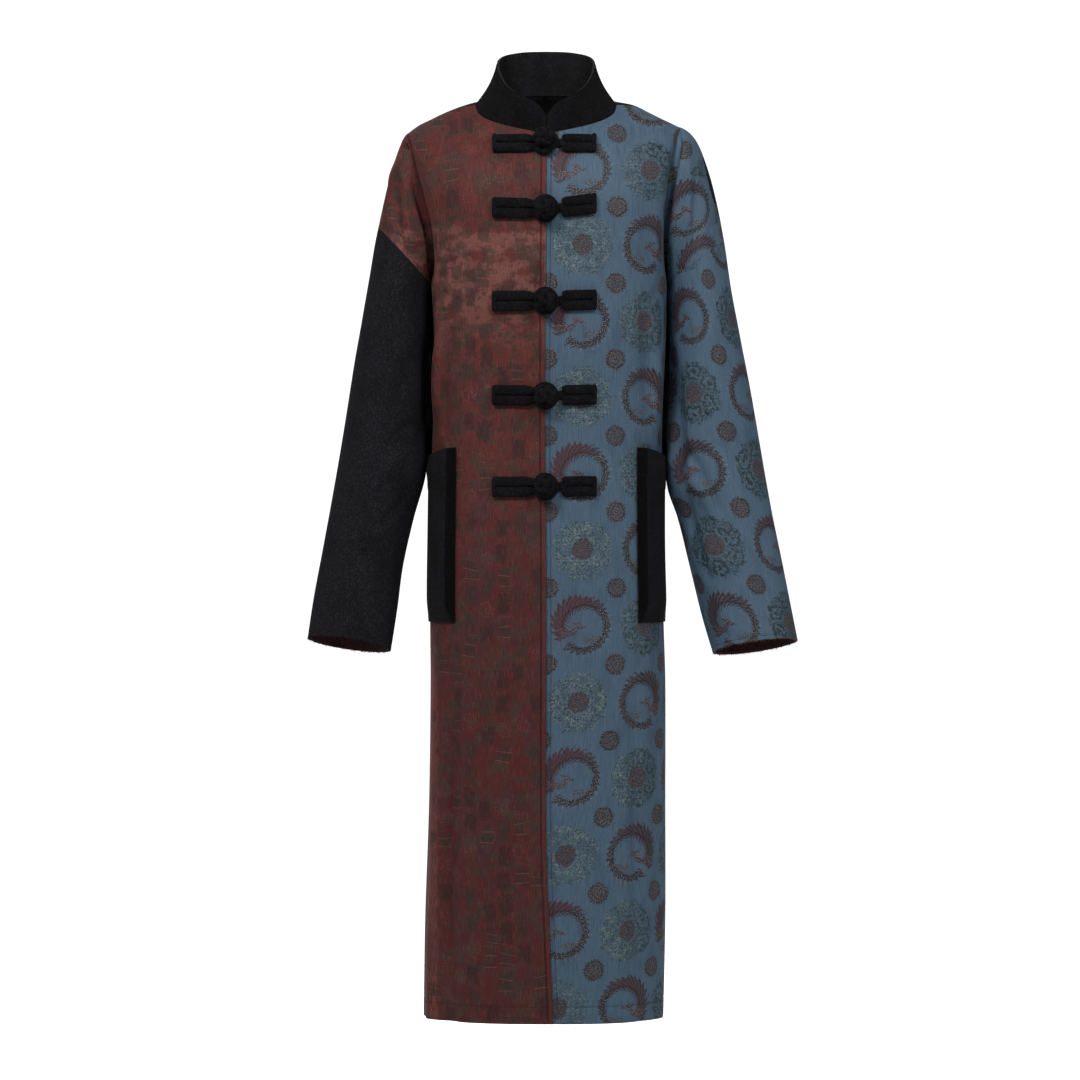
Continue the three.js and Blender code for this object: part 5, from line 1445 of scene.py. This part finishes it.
def front_surface(side, x, z):
    """Points of one side's front at places of the front view."""
    low, high = np.full_like(x, 0.3), np.full_like(x, 1.0)
    upper = np.zeros((*x.shape, 3))
    for _ in range(24):
        t = (low + high) / 2
        start = inner_line(side, FRONT, t)[..., 0]
        share = np.clip((x - start) / (armhole_fold(side, FRONT, t)[..., 0] - start), 0, 1)
        upper = yoke_point(side, FRONT, yoke_angle(share, t), t)
        above = upper[..., 2] > z
        low, high = np.where(above, t, low), np.where(above, high, t)
    half, middle = read(TRUNK, "z", z, colour_of(side)), front_edge(z)
    share = np.clip((x - middle) / (side * half - middle), 0, 1)
    lower = trunk_point(side, np.degrees(np.arcsin(share ** (SECTION_POWER / 2))), z)
    return np.where((z <= UNDERARM_Z)[..., None], lower, upper)


def on_front(x, z):
    """The body's front surface at places on it, with the directions that it faces."""
    x, z = arrays(x, z)
    is_red = (x < front_edge(z))[..., None]
    found = {}
    for side in (RED, BLUE):
        point = front_surface(side, x, z)
        across = front_surface(side, x + side * 4, z) - point
        down = front_surface(side, x, z - 4.0) - point
        normal = unit(np.cross(across, down))
        found[side] = point, normal * np.where(normal[..., 1:2] > 0, -1, 1)
    return tuple(np.where(is_red, found[RED][k], found[BLUE][k]) for k in range(2))


def frog_place(i):
    """Where a frog's own measures lie on the coat."""
    rises = {RED: FROGS["red_rise"][i], BLUE: FROGS["blue_rise"][i]}
    level = FROGS["z"][i]
    upright = abs(on_front(np.array([KNOT_X]), np.array([level]))[1][0, 1])

    def place(x, z, height):
        x, z, height = arrays(x, z, height)
        rise = np.radians(np.where(x < 0, rises[RED], rises[BLUE]))
        lift = np.maximum(0, np.abs(x - KNOT_X) - RING) * np.tan(rise)
        point, normal = on_front(x, level + (z + lift) * upright)
        return point + normal * height[..., None], normal

    return place


def laid_cord(place, x, z, rise, width, height, sides=20, square=2.0, wobble=0.0):
    """Cloth tube laid on the front. A section with square above 2 has flatter sides."""
    x, z, rise, width, height = arrays(x, z, rise, width, height)
    centre, normal = place(x, z, rise + height / 2)
    along = unit(np.gradient(centre, axis=0))
    across = unit(np.cross(along, normal))
    turn = np.arange(sides) * 360 / sides
    reach_x, reach_y = (np.sign(part) * np.abs(part) ** (2 / square) for part in (cos(turn), sin(turn)))
    swell = 1 + wobble * np.sin(np.arange(len(x)) * 1.7 + x[0])
    rings = (centre[:, None] + across[:, None] * (reach_x * (width * swell)[:, None] / 2)[..., None]
             + normal[:, None] * (reach_y * height[:, None] / 2)[..., None])
    return skin(rings)


def rounded_ends(count, soft=3):
    """Shares along a tube and how wide it is there, drawn in at both ends."""
    share = np.linspace(0, 1, count)
    near = np.minimum(share, 1 - share) * (count - 1)
    return share, 1 - 0.35 * (1 - np.clip(near / soft, 0, 1)) ** 2


def smooth_path(points, count):
    """A finer smooth path through some points (Catmull-Rom)."""
    points = np.asarray(points, float)
    padded = np.concatenate([[2 * points[0] - points[1]], points, [2 * points[-1] - points[-2]]])
    at = np.linspace(0, len(points) - 1, count)
    i = np.minimum(at.astype(int), len(points) - 2)
    t = (at - i)[:, None]
    a, b, c, d = (padded[i + k] for k in range(4))
    return 0.5 * (2 * b + (c - a) * t + (2 * a - 5 * b + 4 * c - d) * t**2 + (3 * b - 3 * c + d - a) * t**3)


def frog_bar(place, x):
    """The squared end of a frog, stitched down across its two legs."""
    share, size = rounded_ends(15, 2)
    z = lerp(-BAR_LENGTH / 2, BAR_LENGTH / 2, share)
    return laid_cord(place, np.full_like(z, x), z, CORD_LAID_ON, BAR_WIDTH * size, BAR_HEIGHT * size,
                     square=3.4)


def frog_stitches(place, ends, inner):
    """Stitches along the groove between the legs and beside the squared end."""
    runs = []
    for x0, x1, z0, z1, height in ((ends, inner, 0, 0, 5.6), (inner, inner, -10, 10, 7.4)):
        x, z = np.linspace(x0, x1, 16), np.linspace(z0, z1, 16)
        point, normal = place(x, z, height)
        runs.append(stitch_run(point, normal, pitch=2.8, length=1.9, width=0.6, lift=0.1))
    return runs


def build_loop(i, place):
    """The loop side: two legs on the red front that open into a ring round the knot."""
    legs = [(x, LEG_SPREAD) for x in np.linspace(RED_END, RED_TURN, 5)]
    turns = np.arange(150, -151, -30)
    ring = [(KNOT_X + RING * cos(a), RING * sin(a) * (0.92 if abs(a) > 100 else 1)) for a in turns]
    back = [(x, -z) for x, z in legs[::-1]]
    low = [CORD_LAID_ON] * len(legs)
    raised = [lerp(CORD_LAID_ON, RING_RISE, smooth(cos(a), -0.9, 0.4)) for a in turns]
    sizes = [FROG_TUBE] * len(legs) + [FROG_CORD] * len(turns) + [FROG_TUBE] * len(legs)
    rows = [(*at, rise, *size) for at, rise, size in zip(legs + ring + back, low + raised + low, sizes)]
    rows = smooth_path(rows, 130)
    parts = [laid_cord(place, *rows.T, wobble=TUBE_WOBBLE), frog_bar(place, RED_END)]
    parts += frog_stitches(place, RED_END + 6, RED_TURN - 2)
    made = new_object(f"frog_{i}_loop_cord", *join(parts), sharp=60)
    place_piece(made, "frog_cord", [FROG_CLOTH], f"frog_{i}_loop")


def knot_frame(place):
    """The knot's middle and its three directions: across, up and out of the coat."""
    point, normal = (value[0] for value in place([KNOT_X], [0], [BALL_HEIGHT]))
    across = unit(np.array([1.0, 0, 0]) - normal * normal[0])
    return point, across, np.cross(normal, across), normal


def knot_cord(place, seed):
    """The ball: one cord plaited round a core, over and under itself."""
    point, across, up, normal = knot_frame(place)
    bights, leads, cord = 5, 3, 3.3
    spin, tip = seed * 0.9, 0.5 + 0.12 * seed
    s = np.linspace(0, 1, 361)[:-1]
    lon = math.tau * leads * s + spin
    lat = np.radians(64) * np.cos(math.tau * bights * s)
    radius = 1 + 0.13 * np.sin(math.tau * bights * 2 * s)
    path = np.stack([np.cos(lat) * np.cos(lon), np.cos(lat) * np.sin(lon), np.sin(lat)], -1) * radius[:, None]
    path = path @ np.array([[1, 0, 0], [0, math.cos(tip), math.sin(tip)], [0, -math.sin(tip), math.cos(tip)]])
    reach, flat = BALL_RADIUS - cord - 0.9, BALL_FLAT - cord + 1.6
    centre = path[:, :1] * reach * across + path[:, 1:2] * reach * up + path[:, 2:] * flat * normal
    outward = unit(path[:, :1] * across + path[:, 1:2] * up + path[:, 2:] * normal)
    along = unit(np.roll(centre, -1, axis=0) - np.roll(centre, 1, axis=0))
    aside = unit(np.cross(along, outward))
    lift = np.cross(aside, along)
    sides = 12
    turn = np.arange(sides) * math.tau / sides
    rings = (point + centre[:, None] + aside[:, None] * (np.cos(turn) * cord)[None, :, None]
             + lift[:, None] * (np.sin(turn) * cord * 0.82)[None, :, None])
    faces = tube_faces(len(s), len(s), sides)
    core = [[point + (across * math.cos(a) + up * math.sin(a)) * (BALL_RADIUS - 3.6) * math.sin(b)
             + normal * (BALL_FLAT - 2.4) * math.cos(b) for a in np.arange(20) * math.tau / 20]
            for b in np.linspace(0.12, math.pi - 0.12, 12)]
    return [(rings.reshape(-1, 3), faces), skin(core)]


def build_button(i, place):
    """The button side: two legs on the blue front, a flat tail under the ring, stem and ball."""
    parts = []
    share, size = rounded_ends(24)
    x = lerp(BLUE_START, BLUE_END, share)
    tube = [measure * size for measure in FROG_TUBE]
    for z in (LEG_SPREAD, -LEG_SPREAD):
        parts.append(laid_cord(place, x, np.full_like(x, z), CORD_LAID_ON, *tube, wobble=TUBE_WOBBLE))
    parts.append(frog_bar(place, BLUE_END))
    tail = np.linspace(BLUE_START + 4, KNOT_X - 3, 10)
    parts.append(laid_cord(place, tail, np.zeros_like(tail), CORD_LAID_ON, *FROG_TAIL))
    point, across, up, normal = knot_frame(place)
    width, low, high = FROG_STEM
    stem = [[point + normal * (height - BALL_HEIGHT) + (across * math.cos(a) + up * math.sin(a)) * width / 2
             for a in np.arange(14) * math.tau / 14] for height in np.linspace(low, high, 5)]
    parts.append(skin(stem))
    parts += knot_cord(place, i)
    parts += frog_stitches(place, BLUE_END - 6, BLUE_START + 4)
    made = new_object(f"frog_{i}_button_knot", *join(parts), sharp=60)
    place_piece(made, "frog_cord", [FROG_CLOTH], f"frog_{i}_button")


# -------------------------------------------------------------------------------------------------
# Build everything, then the stage, the lights and the camera.

build_body()
for coat_side in (RED, BLUE):
    build_sleeve(coat_side)
    build_pocket(coat_side)
build_collar()
for number in range(len(FROGS["z"])):
    frog_at = frog_place(number)
    build_loop(number + 1, frog_at)
    build_button(number + 1, frog_at)

FLOOR_Z = -1.40
BOWL_RADIUS, BOWL_CURVE, BOWL_LIFT = 9.0, 1.6, 0.002
CAMERA_X, CAMERA_Z, CAMERA_AWAY, LENS = -0.0078, -0.5655, 5.2, 133.33


def turned(name, profile, sides=72):
    """A surface of revolution about the vertical through the origin, from radii and heights in metres."""
    turn = np.arange(sides) * 360 / sides
    verts = [(radius * cos(a), radius * sin(a), height) for radius, height in profile for a in turn]
    return new_object(name, np.array(verts) / MM, tube_faces(len(profile) - 1, len(profile), sides))


def stage_paint(name):
    paint = Surface(name, roughness=0.9, specular=0.1)
    x, y, z = paint.space()
    paint.paint((250, 250, 250)).paint((255, 255, 255), paint.noise((x / 600, y / 600, z / 600), 2))
    return paint, length(x, y) / 1000


def build_stage():
    """A pale floor, and round it a white bowl that glows but lights nothing."""
    floor = turned("floor", [(0.02, FLOOR_Z), (7.5, FLOOR_Z)])
    floor.data.materials.append(stage_paint("pale_floor")[0].done())
    rim = [(BOWL_RADIUS - BOWL_CURVE * (1 - sin(a)), FLOOR_Z + BOWL_CURVE * (1 - cos(a)) + BOWL_LIFT)
           for a in range(0, 91, 9)]
    bowl = turned("backdrop", [(0.3, FLOOR_Z + BOWL_LIFT), *rim, (BOWL_RADIUS, 6)])
    paint, away = stage_paint("pale_backdrop")
    paint.shader.inputs["Emission Color"].default_value = (1, 1, 1, 1)
    paint.tree.links.new(away.rises(0.3, 0.95).socket, paint.shader.inputs["Emission Strength"])
    bowl.data.materials.append(paint.done())
    bowl.visible_diffuse = bowl.visible_glossy = bowl.visible_shadow = False


def add_light(name, place, size, watts, aim=(0, 0, -0.55)):
    lamp = bpy.data.lights.new(name, "AREA")
    lamp.shape, lamp.size, lamp.size_y, lamp.energy = "RECTANGLE", size[0], size[1], watts
    made = bpy.data.objects.new(name, lamp)
    bpy.context.scene.collection.objects.link(made)
    made.location = place
    made.rotation_euler = (Vector(aim) - Vector(place)).to_track_quat("-Z", "Y").to_euler()
    made.visible_camera = False
    return made


def light_and_shoot():
    world = bpy.data.worlds.new("studio")
    world.use_nodes = True
    background = world.node_tree.nodes["Background"]
    background.inputs["Color"].default_value = (1, 1, 1, 1)
    background.inputs["Strength"].default_value = 0.12
    bpy.context.scene.world = world
    add_light("key", (-0.95, -1.8, 1.15), (0.6, 0.6), 31, (0, 0, -0.25))
    add_light("fill", (1.05, -1.9, 1.0), (0.7, 0.7), 23, (0, 0, -0.3))
    add_light("left_edge", (-2.4, -0.7, 0.2), (0.6, 1.6), 8)
    add_light("right_edge", (2.4, -0.7, 0.2), (0.6, 1.6), 8)
    add_light("top", (0, -0.3, 2.0), (1.8, 1.0), 7)
    rear = add_light("rear", (-1.0, 2.4, 0.9), (0.7, 0.7), 60, (0, 0, -0.4))
    rear.visible_glossy = False
    bpy.context.scene.view_settings.view_transform = "Standard"
    camera = bpy.data.objects.new("camera", bpy.data.cameras.new("camera"))
    bpy.context.scene.collection.objects.link(camera)
    camera.data.sensor_width, camera.data.lens = 36, LENS
    camera.data.clip_start, camera.data.clip_end = 0.1, 60
    camera.location = (CAMERA_X, -CAMERA_AWAY, CAMERA_Z)
    camera.rotation_euler = (math.pi / 2, 0, 0)
    bpy.context.scene.camera = camera


build_stage()
light_and_shoot()
